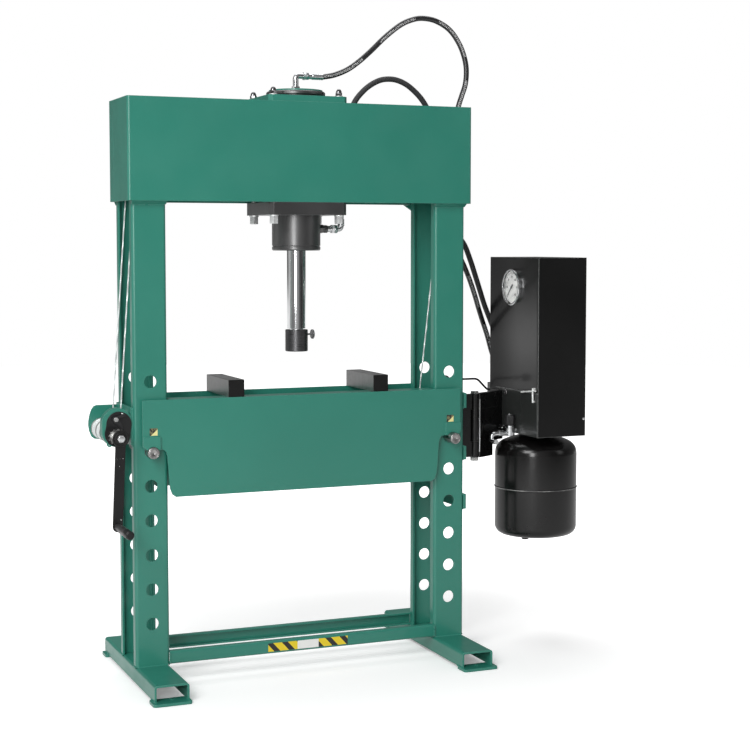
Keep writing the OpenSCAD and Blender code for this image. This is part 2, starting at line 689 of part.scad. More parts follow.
// Back plate and floor of the box, which carry the motor and the pump
module box_back() {
    color(black) difference() {
        union() {
            box(741.8, 905.8, box_hy - 3, box_hy + 1, 669, box_z1 - 2.2);
            box(741.8, 905.8, -box_hy + 2.2, box_hy - 3, 669, 673);
        }
        translate([823, 0, 660]) cylinder(r = 58, h = 20);
        bar_x(120, 700, 9, 735, 745);
    }
}
module gauge_case() {
    color(steel) translate([740, 5, 1132]) rotate([0, -90, 0]) {
        difference() {
            union() {
                translate([0, 0, -38]) cylinder(r = 45, h = 39);
                translate([0, 0, 0.4]) cylinder(r = 58, h = 10.7, $fn = 96);
            }
            translate([0, 0, 4]) cylinder(r = 52, h = 10, $fn = 96);
        }
        translate([0, 0, 3.5]) cylinder(r = 1.5, h = 2.6);
        translate([-30, 0, -52]) cylinder(r = 7, h = 15);
    }
}
module gauge_glass() {
    color([0.9, 0.95, 1, 0.35]) translate([729.8, 5, 1132]) rotate([0, 90, 0])
        cylinder(r = 51.9, h = 2, $fn = 96);
}
// Needle on the dial, at rest near the lower left stop
module gauge_needle() {
    color(black) translate([734.8, 5, 1132]) rotate([-45, 0, 0]) rotate([0, -90, 0]) difference() {
        linear_extrude(0.8) {
            circle(4.5);
            polygon([[-12, -2.2], [0, -1.8], [41, -0.6], [41, 0.6], [0, 1.8], [-12, 2.2]]);
        }
        translate([0, 0, -1]) cylinder(r = 1.5 + run, h = 3);
    }
}
// Electric motor on the box floor, and the pump that hangs below it into the tank
module motor_pump() {
    color(steel) translate([823, 0, 0]) {
        translate([0, 0, 673]) cylinder(r = 75, h = 10);
        translate([0, 0, 683]) cylinder(r = 70, h = 210);
        translate([0, 0, 893]) cylinder(r = 62, h = 40);
        translate([0, 0, 656]) cylinder(r = 56, h = 17);
        translate([0, 0, 430]) cylinder(r = 40, h = 226);
        for (a = [0:45:315]) rotate(a) box(69, 76, -2, 2, 700, 880);
    }
}
module tank() {
    color(black) translate([823, 0, 0]) {
        rotate_extrude($fn = 96) polygon([[0, 338], [tank_r - 30, 338], [tank_r - 15, 342],
            [tank_r - 5, 352], [tank_r, 367], [tank_r, 489], [tank_r + 1.5, 490.5],
            [tank_r + 1.5, 492.5], [tank_r, 494], [tank_r, 602], [tank_r - 2.5, 615],
            [tank_r - 9, 626], [tank_r - 19, 635.5], [tank_r - 33, 642.5], [tank_r - 50, 648.5],
            [62, 654], [58, 656], [40.3, 656], [40.3, 652], [56, 652], [60, 650.5],
            [tank_r - 51, 644.5], [tank_r - 35, 638.5], [tank_r - 22, 632], [tank_r - 12.5, 623],
            [tank_r - 6.5, 613], [tank_r - 4, 602], [tank_r - 4, 368], [tank_r - 9, 354],
            [tank_r - 17, 346], [tank_r - 31, 342], [0, 342]]);
        translate([-66, -56, 331]) cylinder(r = 11, h = 9);
    }
}
// Valve body with its ports at the foot of the box's left side
module valve_block() {
    color(bright) {
        translate([720, -18, 660]) cylinder(r = 15, h = 34);
        translate([720, -18, 694]) cylinder(r = 6, h = 8);
        bar_x(-18, 677, 9, 705, 736.6);
        translate([720, 37, 679]) rotate([90, 0, 0]) hex(20, 42);
        bar_y(720, 679, 7, 36, 52);
        bar_x(-18, 668, 8, 655, 722);
        translate([655, -18, 668]) sphere(r = 8);
        translate([655, -18, 646]) cylinder(r = 8, h = 22);
        bar_y(655, 646, 9, -52, -18);
    }
}
module relief_knob() {
    color(black) translate([720, -18, 694.3]) difference() {
        rotate_extrude() polygon([[0, 0], [14, 0], [16, 3], [16, 30], [13, 34], [0, 34]]);
        translate([0, 0, -1]) cylinder(r = 6 + run, h = 9.2);
    }
}
module directional_valve() {
    color(black) {
        difference() {
            union() {
                box(756, 816, box_hy + 1, 216, 740, 812);
                box(750, 757, 178, 202, 776, 802);
            }
            bar_x(190, 789, 4.5 + run, 740, 769);
        }
        for (x = [770, 798]) translate([x, 196, 811]) {
            hex(24, 12);
            cylinder(r = 10.5, h = 35);
        }
    }
}
// Control lever: a bent rod with a ball at its end
module valve_lever() {
    color(black) {
        bar_x(190, 789, 4.5, 740, 768);
        translate([744, 190, 787]) rotate([0, -45, 0]) cylinder(r = 3.4, h = 58);
        bar_x(190, 826.3, 2.9, 595, 706.5);
        translate([590, 190, 826.3]) rotate([0, 90, 0]) rotate_extrude() polygon([[0, -15], [5, -14.1],
            [9.5, -11.6], [13, -7.5], [15, 0], [13, 7.5], [9.5, 11.6], [5, 14.1], [0, 15]]);
    }
}
module hose_pressure() {
    color([0.03, 0.03, 0.03]) tube(route_p, hose_r, 43);
}
module hose_return() {
    color([0.04, 0.04, 0.04]) tube(route_r, return_r, 36);
}

head_front_plate();
head_rear_plate();
head_ribs();
head_packers();
cylinder_top_plate();
column_front_left();
column_front_right();
column_rear_left();
column_rear_right();
foot_left();
foot_right();
rail_front();
rail_rear();
side_ties();
cylinder_flange();
tie_bolts();
cylinder_barrel();
lock_ring();
cylinder_cap();
top_fitting();
side_fitting();
ram_rod();
press_head();
thumb_screw();
bed_front();
bed_rear();
bed_cross();
press_blocks();
pin_left();
pin_right();
winch_frame();
winch_cover();
winch_drum();
rope_coils();
crank_shaft();
crank_arm();
crank_grip();
pawl();
pulley_left();
pulley_right();
pulley_axles();
rope_runs();
rope_falls();
hinge_bracket();
hinge_pin();
swing_arm();
box_cover();
box_back();
gauge_case();
gauge_glass();
gauge_needle();
motor_pump();
tank();
valve_block();
relief_knob();
directional_valve();
valve_lever();
hose_pressure();
hose_return();
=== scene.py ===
import math

import bmesh
import bpy
from mathutils import Matrix, Vector


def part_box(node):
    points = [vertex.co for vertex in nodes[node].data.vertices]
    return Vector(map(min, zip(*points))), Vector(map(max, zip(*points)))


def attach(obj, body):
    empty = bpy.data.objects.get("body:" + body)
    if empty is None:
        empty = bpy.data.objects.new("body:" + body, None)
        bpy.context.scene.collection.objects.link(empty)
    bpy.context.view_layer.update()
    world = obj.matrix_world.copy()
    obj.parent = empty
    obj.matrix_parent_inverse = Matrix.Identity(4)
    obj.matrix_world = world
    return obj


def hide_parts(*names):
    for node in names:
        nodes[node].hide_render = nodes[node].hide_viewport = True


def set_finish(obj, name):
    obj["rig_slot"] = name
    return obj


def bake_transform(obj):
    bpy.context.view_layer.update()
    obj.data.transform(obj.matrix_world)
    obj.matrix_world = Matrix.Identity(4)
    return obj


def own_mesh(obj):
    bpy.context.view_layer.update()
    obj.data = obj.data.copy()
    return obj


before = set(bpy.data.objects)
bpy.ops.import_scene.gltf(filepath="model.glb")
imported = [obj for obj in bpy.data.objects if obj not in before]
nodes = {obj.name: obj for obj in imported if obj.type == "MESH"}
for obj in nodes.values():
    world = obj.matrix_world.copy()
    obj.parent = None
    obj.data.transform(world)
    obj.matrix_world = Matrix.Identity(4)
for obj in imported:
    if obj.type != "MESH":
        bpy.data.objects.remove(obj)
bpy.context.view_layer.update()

# ---------- Camera ----------
# A long lens at chest height, a little to the left of the press and looking slightly down at it.
# The lens sits low in its mount, so the uprights stay close to parallel.
lens = bpy.data.cameras.new("camera")
lens.sensor_width = 36
lens.lens = 76.56
lens.shift_y = -0.0267
lens.clip_end = 200
camera = bpy.data.objects.new("camera", lens)
camera.location = (-1.615, -4.52, 1.2754)
camera.rotation_euler = (math.radians(90 - 4.05), 0, math.radians(-22.55))
bpy.context.scene.collection.objects.link(camera)
bpy.context.scene.camera = camera


# ---------- Hoses ----------
# Two hydraulic hoses from the cylinder to the valve behind the control box. The pressure hose is
# wire-braided under smooth black rubber with a printed band, and the return hose has a dull woven
# cover. Both are held by crimped ferrules alone.
class Wire:
    """A socket of a finish. Arithmetic on wires adds Math nodes, or Vector Math on vectors."""

    def __init__(self, finish, socket):
        self.finish = finish
        self.socket = socket

    def join(self, operation, first, second):
        sides = [w for w in (first, second) if isinstance(w, Wire)]
        vector = any(w.socket.type == "VECTOR" for w in sides)
        kind = "ShaderNodeVectorMath" if vector else "ShaderNodeMath"
        return self.finish.add(kind, {"operation": operation}, {0: first, 1: second})

    def __add__(self, other):
        return self.join("ADD", self, other)

    def __radd__(self, other):
        return self.join("ADD", other, self)

    def __sub__(self, other):
        return self.join("SUBTRACT", self, other)

    def __rsub__(self, other):
        return self.join("SUBTRACT", other, self)

    def __mul__(self, other):
        return self.join("MULTIPLY", self, other)

    def __rmul__(self, other):
        return self.join("MULTIPLY", other, self)

    def __truediv__(self, other):
        return self.join("DIVIDE", self, other)

    def __gt__(self, other):
        return self.join("GREATER_THAN", self, other)

    def __lt__(self, other):
        return self.join("LESS_THAN", self, other)

    def __mod__(self, other):
        return self.join("FLOORED_MODULO", self, other)

    def __abs__(self):
        return self.finish.add("ShaderNodeMath", {"operation": "ABSOLUTE"}, {0: self})


class Finish:
    """A surface finish: one Principled shader, with the nodes that vary it."""

    def __init__(self, name, fixed):
        self.material = bpy.data.materials.new(name)
        self.material.use_nodes = True
        self.tree = self.material.node_tree
        self.shader = self.tree.nodes["Principled BSDF"]
        self.feed(fixed)

    def put(self, socket, value):
        if isinstance(value, Wire):
            self.tree.links.new(value.socket, socket)
        elif socket.type == "RGBA":
            socket.default_value = (*value, 1)
        elif socket.type == "VECTOR" and not hasattr(value, "__len__"):
            socket.default_value = (value, value, value)
        else:
            socket.default_value = value

    def feed(self, values):
        for name, value in values.items():
            self.put(self.shader.inputs[name], value)

    def add(self, kind, settings, values, output=0):
        """Adds any node: its settings first, then the values or wires of its sockets."""
        node = self.tree.nodes.new(kind)
        for name, value in settings.items():
            if name == "stops":
                ramp = node.color_ramp.elements
                for place, colour in value[1:-1]:
                    ramp.new(place).color = (*colour, 1)
                for end, (place, colour) in ((0, value[0]), (len(ramp) - 1, value[-1])):
                    ramp[end].position = place
                    ramp[end].color = (*colour, 1)
            else:
                setattr(node, name, value)
        for name, value in values.items():
            self.put(node.inputs[name], value)
        return Wire(self, node.outputs[output])

    def place(self):
        return self.add("ShaderNodeTexCoord", {}, {}, "Object")

    def facing(self):
        return self.add("ShaderNodeNewGeometry", {}, {}, "Normal")

    def part(self, vector, letter):
        return self.add("ShaderNodeSeparateXYZ", {}, {0: vector}, letter)

    def axis(self, letter):
        return self.part(self.place(), letter)

    def rays(self, kind):
        """1 for the rays of that kind, and 0 for the others."""
        return self.add("ShaderNodeLightPath", {}, {}, f"Is {kind} Ray")

    def mark(self, name):
        return self.add("ShaderNodeAttribute", {"attribute_name": name}, {}, "Fac")

    def noise(self, scale, detail=3, stretch=(1, 1, 1)):
        return self.add("ShaderNodeTexNoise", {}, {"Vector": self.place() * stretch,
                                                   "Scale": scale, "Detail": detail})

    def ramp(self, wire, low, high, start=0.0, end=1.0):
        """A value that goes from start to end as wire goes from low to high, with a soft foot."""
        return self.add("ShaderNodeMapRange", {"interpolation_type": "SMOOTHSTEP"},
                        {"Value": wire, 1: low, 2: high, 3: start, 4: end})

    def vary(self, low, high, *noise):
        """A value that wanders between low and high with a noise of that scale and detail."""
        return self.ramp(self.noise(*noise), 0.3, 0.7, low, high)

    def mix(self, share, first, second):
        return self.add("ShaderNodeMix", {"data_type": "RGBA"}, {0: share, 6: first, 7: second}, 2)

    def relief(self, height, depth, under=None):
        values = {"Height": height, "Distance": depth, "Strength": 1}
        if under:
            values["Normal"] = under
        return self.add("ShaderNodeBump", {}, values)

    def round_edges(self, radius):
        """The normal of the surface with its edges rounded to radius."""
        return self.add("ShaderNodeBevel", {"samples": 6}, {"Radius": radius})

    def on_edge(self, rounded):
        """How far a rounded normal is turned from its face: 0 on a flat, more along an edge."""
        return 1 - self.add("ShaderNodeVectorMath", {"operation": "DOT_PRODUCT"},
                            {0: rounded, 1: self.facing()}, "Value")


class Stock:
    """The faces of one piece, gathered shape by shape and then made."""

    def __init__(self):
        self.shape = bmesh.new()
        self.along = self.shape.verts.layers.float.new("along")
        self.around = self.shape.verts.layers.float.new("around")

    def ring(self, centre, side, other, section, along=0.0):
        made = []
        for k, (u, v) in enumerate(section):
            corner = self.shape.verts.new(Vector(centre) + side * u + other * v)
            corner[self.along] = along
            corner[self.around] = abs(2 * k / len(section) - 1)
            made.append(corner)
        return made

    def skin(self, low, high):
        count = max(len(low), len(high))
        for k in range(count):
            corners = [low[k % len(low)], low[(k + 1) % len(low)],
                       high[(k + 1) % len(high)], high[k % len(high)]]
            corners = list(dict.fromkeys(corners))
            if len(corners) > 2:
                self.shape.faces.new(corners)

    def loft(self, rings):
        """Skins the rings one after another and closes both ends."""
        for low, high in zip(rings, rings[1:]):
            self.skin(low, high)
        self.shape.faces.new(rings[0])
        self.shape.faces.new(rings[-1])

    def turn(self, profile, foot, axis, steps=48, closed=False):
        """Turns (radius, height) points about the line that starts at foot and runs along axis."""
        axis = Vector(axis).normalized()
        side = axis.orthogonal().normalized()
        other = axis.cross(side)
        rings = []
        for radius, height in profile:
            centre = Vector(foot) + axis * height
            if radius < 1e-6:
                rings.append([self.shape.verts.new(centre)])
            else:
                rings.append(self.ring(centre, side, other, circle(radius, steps), height))
        for low, high in zip(rings, rings[1:] + rings[:1] if closed else rings[1:]):
            self.skin(low, high)
        return self

    def bar(self, foot, axis, radius, length, steps=24):
        """A plain round bar."""
        return self.turn([(0, 0), (radius, 0), (radius, length), (0, length)], foot, axis, steps)

    def sweep(self, route, section, twist=0.0):
        """Draws a section along a route, turning it by twist radians a metre; the ends are closed."""
        route = [Vector(p) for p in route]
        last, run, up = len(route) - 1, 0.0, Vector((0, 1, 0))
        rings = []
        for i, point in enumerate(route):
            ahead = (route[min(i + 1, last)] - route[max(i - 1, 0)]).normalized()
            up = (up - ahead * up.dot(ahead)).normalized()
            if i:
                run += (point - route[i - 1]).length
            turned = Matrix.Rotation(twist * run, 3, ahead) @ up
            rings.append(self.ring(point, turned, ahead.cross(turned), section, run))
        self.loft(rings)
        return self

    def plate(self, outline, normal, low, high):
        """A flat plate of that outline, from low to high along the axis named by normal."""
        order = {"X": (2, 0, 1), "Y": (0, 2, 1)}[normal]
        faces = []
        for level in (low, high):
            corners = [(u, v, level) for u, v in outline]
            spots = [Vector([corner[k] for k in order]) for corner in corners]
            faces.append([self.shape.verts.new(spot) for spot in spots])
        self.loft(faces)
        return self

    def panel(self, normal, across, along, low, high):
        """A rectangular plate, between two values each way."""
        (u0, u1), (v0, v1) = across, along
        return self.plate([(u0, v0), (u1, v0), (u1, v1), (u0, v1)], normal, low, high)

    def make(self, name, finish, body, slot, replaces=(), edge=0.0, crease=35):
        if edge:
            self.shape.normal_update()
            sharp = [e for e in self.shape.edges
                     if len(e.link_faces) == 2 and e.calc_face_angle(0) > math.radians(crease)]
            bmesh.ops.bevel(self.shape, geom=sharp, offset=edge, segments=2, profile=0.5,
                            affect="EDGES", clamp_overlap=True)
        bmesh.ops.recalc_face_normals(self.shape, faces=self.shape.faces)
        mesh = bpy.data.meshes.new(name)
        self.shape.to_mesh(mesh)
        self.shape.free()
        mesh.shade_smooth()
        mesh.set_sharp_from_angle(angle=math.radians(crease))
        mesh.materials.append(finish.material)
        piece = bpy.data.objects.new(name, mesh)
        bpy.context.scene.collection.objects.link(piece)
        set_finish(piece, slot)
        if body:
            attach(piece, body)
        if replaces:
            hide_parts(*replaces)
        return piece


def spline(points, steps):
    """A smooth line through the points, with that many steps between each two."""
    points = [Vector(p) for p in points]
    line = []
    for i in range(len(points) - 1):
        a, b, c, d = (points[max(i - 1, 0)], points[i], points[i + 1],
                      points[min(i + 2, len(points) - 1)])
        for k in range(steps):
            u = k / steps
            line.append(0.5 * (2 * b + (c - a) * u + (2 * a - 5 * b + 4 * c - d) * u * u
                               + (3 * b - a - 3 * c + d) * u ** 3))
    return line + [points[-1]]


def circle(radius, sides):
    return [(radius * math.cos(math.tau * k / sides), radius * math.sin(math.tau * k / sides))
            for k in range(sides)]


rubber = Finish("hose_rubber", {"Specular IOR Level": 0.6})
# The print is a narrow band: a 140 mm row of small broken marks in every 215 mm of hose.
print_band = abs(rubber.mark("around") - 0.07) < 0.034
print_row = (rubber.mark("along") % 0.215) < 0.140
print_marks = (rubber.noise(420, 1) > 0.43) * (rubber.mark("along") % 0.006 > 0.0012)
rubber.feed({
    "Base Color": rubber.mix(print_band * print_row * print_marks, (0.012, 0.012, 0.013),
                             (0.75, 0.75, 0.75)),
    "Roughness": rubber.vary(0.24, 0.36, 60),
    "Normal": rubber.relief(rubber.noise(900, 2), 0.00008),
})
woven = Finish("hose_cover", {"Specular IOR Level": 0.35})
picks = woven.mark("along") * 500
lay = woven.mark("around") * 9
threads = abs((picks + lay) % 1 - 0.5) + abs((picks - lay) % 1 - 0.5)
woven.feed({
    "Base Color": woven.mix(woven.noise(25), (0.030, 0.030, 0.032), (0.052, 0.052, 0.054)),
    "Roughness": woven.vary(0.55, 0.75, 300),
    "Normal": woven.relief(threads, 0.0004),
})

pressure_route = [
    (0.0925, 0, 1.769), (0.128, 0, 1.776), (0.169, -0.003, 1.793), (0.208, -0.006, 1.820),
    (0.247, -0.008, 1.854), (0.291, -0.011, 1.896), (0.340, -0.014, 1.934),
    (0.380, -0.017, 1.952), (0.414, -0.020, 1.957), (0.455, -0.024, 1.950),
    (0.498, -0.027, 1.926), (0.528, -0.031, 1.887), (0.545, -0.034, 1.846),
    (0.551, -0.038, 1.806), (0.546, -0.042, 1.761), (0.531, -0.046, 1.722),
    (0.518, -0.049, 1.686), (0.514, -0.048, 1.645), (0.512, -0.040, 1.590),
    (0.511, -0.026, 1.540), (0.509, -0.006, 1.490), (0.508, 0.012, 1.440),
    (0.511, 0.028, 1.385), (0.528, 0.042, 1.325), (0.558, 0.053, 1.262),
    (0.594, 0.062, 1.200), (0.625, 0.084, 1.154), (0.655, 0.110, 1.107),
    (0.684, 0.140, 1.062), (0.712, 0.166, 1.017), (0.738, 0.186, 0.972),
    (0.757, 0.196, 0.925), (0.769, 0.196, 0.886), (0.770, 0.196, 0.8462)]
return_route = [
    (0.150, 0, 1.345), (0.150, 0, 1.390), (0.151, 0, 1.440), (0.153, 0.001, 1.500),
    (0.158, 0.003, 1.560), (0.168, 0.005, 1.615), (0.182, 0.008, 1.662),
    (0.201, 0.010, 1.702), (0.227, 0.012, 1.732), (0.254, 0.014, 1.753),
    (0.285, 0.017, 1.768), (0.314, 0.019, 1.773), (0.343, 0.021, 1.771),
    (0.374, 0.023, 1.760), (0.402, 0.026, 1.742), (0.428, 0.029, 1.719),
    (0.449, 0.032, 1.692), (0.470, 0.035, 1.656), (0.487, 0.038, 1.612),
    (0.498, 0.040, 1.564), (0.505, 0.041, 1.510), (0.511, 0.043, 1.455),
    (0.516, 0.046, 1.402), (0.532, 0.051, 1.347), (0.560, 0.056, 1.305),
    (0.594, 0.062, 1.268), (0.626, 0.084, 1.220), (0.656, 0.110, 1.172),
    (0.688, 0.140, 1.122), (0.719, 0.168, 1.072), (0.749, 0.188, 1.024),
    (0.776, 0.198, 0.970), (0.793, 0.198, 0.914), (0.798, 0.196, 0.878),
    (0.798, 0.196, 0.8462)]


def hose(name, route, radius, finish, node):
    line = spline(route, 8)
    length = sum((b - a).length for a, b in zip(line, line[1:]))
    piece = Stock().sweep(line, circle(radius, 24)).make(name, finish, None, "hose_rubber", (node,))
    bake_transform(piece)


hose("pressure_hose", pressure_route, 0.008, rubber, "hose_pressure")
hose("return_hose", return_route, 0.0085, woven, "hose_return")


# ---------- Welded frame ----------
# Folded and cut steel plate, welded and sprayed with green enamel with a fine orange-peel surface.
# Every bend and edge is coloured lighter: a painted highlight.
def enamel(name, colour, light, roughness, coat, peel, shine=0.5):
    """Sprayed enamel: its colour, a lighter colour for its dust and its painted edge highlight, and its
    gloss.
    """
    finish = Finish(name, {"Coat Roughness": 0.12, "Specular IOR Level": shine})
    rounded = finish.round_edges(0.0018)
    edge = finish.on_edge(rounded)
    cloud = finish.ramp(finish.noise(2.2, 4), 0.3, 0.7)
    dust = finish.ramp(finish.noise(150, 4), 0.66, 0.74)
    deep = tuple(0.93 * c for c in colour)
    base = finish.mix(cloud, deep, colour)
    base = finish.mix(dust * 0.06, base, light)
    finish.feed({
        # Along every edge the colour turns lighter: a painted highlight.
        "Base Color": finish.mix(finish.ramp(edge, 0.03, 0.35, 0, 0.55), base, light),
        "Roughness": finish.vary(roughness - 0.05, roughness + 0.06, 9, 5),
        "Coat Weight": finish.ramp(finish.noise(3.5, 3), 0.25, 0.75, coat * 0.8, coat),
        "Normal": finish.relief(finish.noise(260, 2), peel, rounded),
    })
    return finish


green = enamel("green_enamel", (0.024, 0.205, 0.150), (0.22, 0.50, 0.42), 0.36, 0.35, 0.00006)
welded = ["head_front_plate", "head_rear_plate", "head_ribs", "head_packers", "column_front_left",
          "column_front_right", "column_rear_left", "column_rear_right", "foot_left", "foot_right",
          "rail_front", "rail_rear", "side_ties", "cylinder_top_plate", "bed_front", "bed_rear",
          "bed_cross", "winch_frame"]


def dress(names, finish):
    for name in names:
        for place in nodes[name].material_slots:
            place.material = finish.material


dress(welded, green)

# ---------- Weld beads ----------
# Arc welds run by hand where the plates meet, under the same enamel. Each bead is a row of
# overlapping ripples, a little uneven in size.
bead_paint = enamel("painted_weld", (0.028, 0.215, 0.160), (0.26, 0.55, 0.47), 0.30, 0.4, 0.0001)
ripple = 0.0045


def bead(stock, start, end, radius=0.0032):
    start, end = Vector(start), Vector(end)
    length = (end - start).length
    count = max(int(length / ripple), 3)
    profile = [(0, 0)]
    for k in range(count):
        uneven = 1 + 0.12 * math.sin(2.3 * k + 40 * start.x) * math.sin(1.1 * k + 25 * start.z)
        profile.append((0.74 * radius * uneven, (k + 0.08) * length / count))
        profile.append((radius * uneven, (k + 0.5) * length / count))
    stock.turn(profile + [(0.7 * radius, length - 0.0004), (0, length)], start, end - start, 10)


column_low, column_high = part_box("column_front_left")
inner_x, outer_x = -column_high.x, -column_low.x
foot_top, web_y, flange_y = column_low.z, -column_low.y, -column_high.y
rail_low, rail_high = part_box("rail_front")
rail_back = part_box("rail_rear")[1].y
winch_low, winch_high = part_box("winch_frame")
packer_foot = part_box("head_packers")[0].z
pad_ends, pad_edge = ((-0.296, -0.262), (0.262, 0.296)), 0.0085
lift = 0.0005
frame_welds = Stock()
for side in (-1, 1):
    inner, outer = side * inner_x, side * outer_x
    for y in (-web_y, web_y):
        bead(frame_welds, (inner + side * 0.006, y, foot_top), (outer - side * 0.006, y, foot_top))
    for x in (inner, outer):
        for y in (-1, 1):
            bead(frame_welds, (x, y * flange_y, foot_top), (x, y * (web_y - 0.007), foot_top))
        for y, end_y in pad_ends:
            bead(frame_welds, (x, y, pad_edge), (x, end_y, pad_edge), 0.0028)
    for y in (rail_low.y - lift, rail_back + lift):
        bead(frame_welds, (inner, y, rail_low.z + 0.002), (inner, y, rail_high.z - 0.002), 0.0028)
    # The head's packers and gussets
    packer_z, gusset_y = packer_foot + 0.0075, web_y - 0.009
    bead(frame_welds, (outer - side * 0.004, -web_y, packer_z), (inner + side * 0.004, -web_y, packer_z),
         0.0022)
    bead(frame_welds, (inner, gusset_y, packer_foot), (inner, gusset_y, packer_foot + 0.016), 0.0025)
tie_edges = (0.810, 0.764, 0.645, 0.603, 0.495, 0.449)
for z in tie_edges:
    for y in (-1, 1):
        bead(frame_welds, (outer_x + lift, y * 0.092, z), (outer_x + lift, y * 0.068, z), 0.0026)
base_foot, base_head = 0.693, 0.803
for y in (winch_low.y + lift, winch_high.y):
    bead(frame_welds, (-outer_x - lift, y, base_foot), (-outer_x - lift, y, base_head), 0.0026)
frame_welds.make("frame_welds", bead_paint, "frame", "weld", crease=80)

saddle_front, saddle_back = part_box("bed_front")[0].y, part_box("bed_rear")[1].y
saddle_thick, saddle_x, saddle_half = 0.006, 0.473, 0.025
saddle_foot, saddle_step, shelf_z = 0.688, 0.721, 0.7225
cross_low, cross_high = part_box("bed_cross")
bed_welds = Stock()
for side in (-1, 1):
    for y in (saddle_front + saddle_thick - lift, saddle_back - saddle_thick + lift):
        edge_x = side * (saddle_x - saddle_half - lift)
        bead(bed_welds, (edge_x, y, saddle_foot), (edge_x, y, saddle_step), 0.0024)
        bead(bed_welds, (side * saddle_x - saddle_half, y, shelf_z),
             (side * saddle_x + saddle_half, y, shelf_z), 0.0024)
    for x in (side * 0.214, side * 0.224):
        for y in (cross_low.y + lift, cross_high.y - lift):
            bead(bed_welds, (x, y, cross_low.z + 0.004), (x, y, cross_high.z - 0.014), 0.0026)
bed_welds.make("bed_welds", bead_paint, "bed", "weld", crease=80)

# ---------- Hazard tape ----------
# A strip of printed plastic tape stuck along the front rail, striped black and yellow, with a
# bare white panel let into its middle.
def flecked(name, fixed, first, second, size, dull=None):
    """A plain finish whose colour wanders between two near shades, size times in a metre."""
    finish = Finish(name, fixed)
    finish.feed({"Base Color": finish.mix(finish.noise(size), first, second)})
    if dull:
        finish.feed({"Roughness": finish.vary(*dull, 120)})
    return finish


tape = Finish("hazard_tape", {"Roughness": 0.42, "Coat Roughness": 0.2, "Coat Weight": 0.2})
slant = (tape.axis("X") + tape.axis("Z") * 0.9) % 0.046
tape.feed({
    "Base Color": tape.mix(slant < 0.019, (0.78, 0.60, 0.02), (0.012, 0.012, 0.012)),
    "Normal": tape.relief(tape.noise(40, 2), 0.0003),
})
white = flecked("white_panel", {"Roughness": 0.4}, (0.78, 0.78, 0.76), (0.86, 0.86, 0.84), 30)
white.feed({"Normal": white.relief(white.noise(40, 2), 0.0002)})
tape_face, tape_height = rail_low.y, (0.0625, 0.0875)
white_left, white_right = -0.029, 0.038
strip = Stock()
for ends in ((-0.121, white_left), (white_right, 0.132)):
    strip.panel("Y", ends, tape_height, tape_face - 0.0005, tape_face + 0.0003)
strip.make("hazard_tape", tape, "frame", "tape_yellow")
label = Stock().panel("Y", (white_left, white_right), tape_height, tape_face - 0.0006, tape_face + 0.0003)
label.make("tape_panel", white, "frame", "label_white")

# ---------- Warning squares ----------
# Small printed squares of plastic film beside the pins, black above a slanting line and yellow
# below it.
square_places, square_foot = (-0.4788, 0.4525), 0.7258
square_width, square_height = 0.023, 0.021
square = Finish("warning_square", {"Roughness": 0.35, "Coat Weight": 0.3, "Coat Roughness": 0.15})
left_middle, right_middle = [x + square_width / 2 for x in square_places]
across = square.axis("X")
from_middle = across - left_middle * (across < 0) - right_middle * (across > 0)
above_line = square.axis("Z") - (square_foot + 0.0074) - from_middle * 0.9 > 0
blob = square.ramp(square.noise(130, 1), 0.48, 0.5)
square.feed({"Base Color": square.mix(above_line * (1 - blob * 0.2), (0.80, 0.73, 0.32),
                                      (0.012, 0.012, 0.012))})
squares = Stock()
bed_face = saddle_front + saddle_thick
for x in square_places:
    squares.panel("Y", (x, x + square_width), (square_foot, square_foot + square_height),
                  bed_face - 0.0005, bed_face + 0.0003)
squares.make("warning_squares", square, "bed", "tape_black")

# ---------- Tie bolts ----------
# Four long bolts clamp the cylinder's two plates on the head: zinc-plated hexagon heads on washers
# below, and chromed cap nuts on washers above, their chrome coloured dark as painted shade.
UP, RIGHT, LEFT, FRONT, BACK = [Vector(way) for way in (
    (0, 0, 1), (1, 0, 0), (-1, 0, 0), (0, -1, 0), (0, 1, 0))]


def polished(name, colour, roughness, scratches=0.02, grain=(1, 1, 1), depth=0.00002):
    """Plated or polished metal with faint handling marks."""
    finish = Finish(name, {"Metallic": 1.0})
    rounded = finish.round_edges(0.0006)
    worn = finish.noise(180, 3, grain)
    dull = tuple(0.86 * c for c in colour)
    finish.feed({
        "Base Color": finish.mix(finish.ramp(worn, 0.35, 0.65), dull, colour),
        "Roughness": finish.vary(roughness, roughness + scratches * 4, 45, 4, grain),
        "Normal": finish.relief(worn, depth, rounded),
    })
    return finish


chrome = polished("chrome", (0.80, 0.81, 0.82), 0.05)
zinc = polished("zinc_plate", (0.56, 0.56, 0.55), 0.24, 0.03)


def hexagon(stock, foot, axis, flats, height, turned=0.0):
    """A hexagon head or nut with the usual turned chamfer on its outer corners."""
    corner, mid = flats / math.sqrt(3), flats / 2
    axis = Vector(axis).normalized()
    side = axis.orthogonal().normalized()
    other = axis.cross(side)
    chamfer = (corner - mid) * 0.6
    rings = []
    for level, reach in ((0, mid), (chamfer, corner), (height - chamfer, corner), (height, mid)):
        section = []
        for k in range(24):
            angle = turned + math.tau * k / 24
            from_flat = (angle - turned) % (math.pi / 3) - math.pi / 6
            size = min(mid / math.cos(from_flat), reach)
            section.append((size * math.cos(angle), size * math.sin(angle)))
        rings.append(stock.ring(Vector(foot) + axis * level, side, other, section))
    stock.loft(rings)
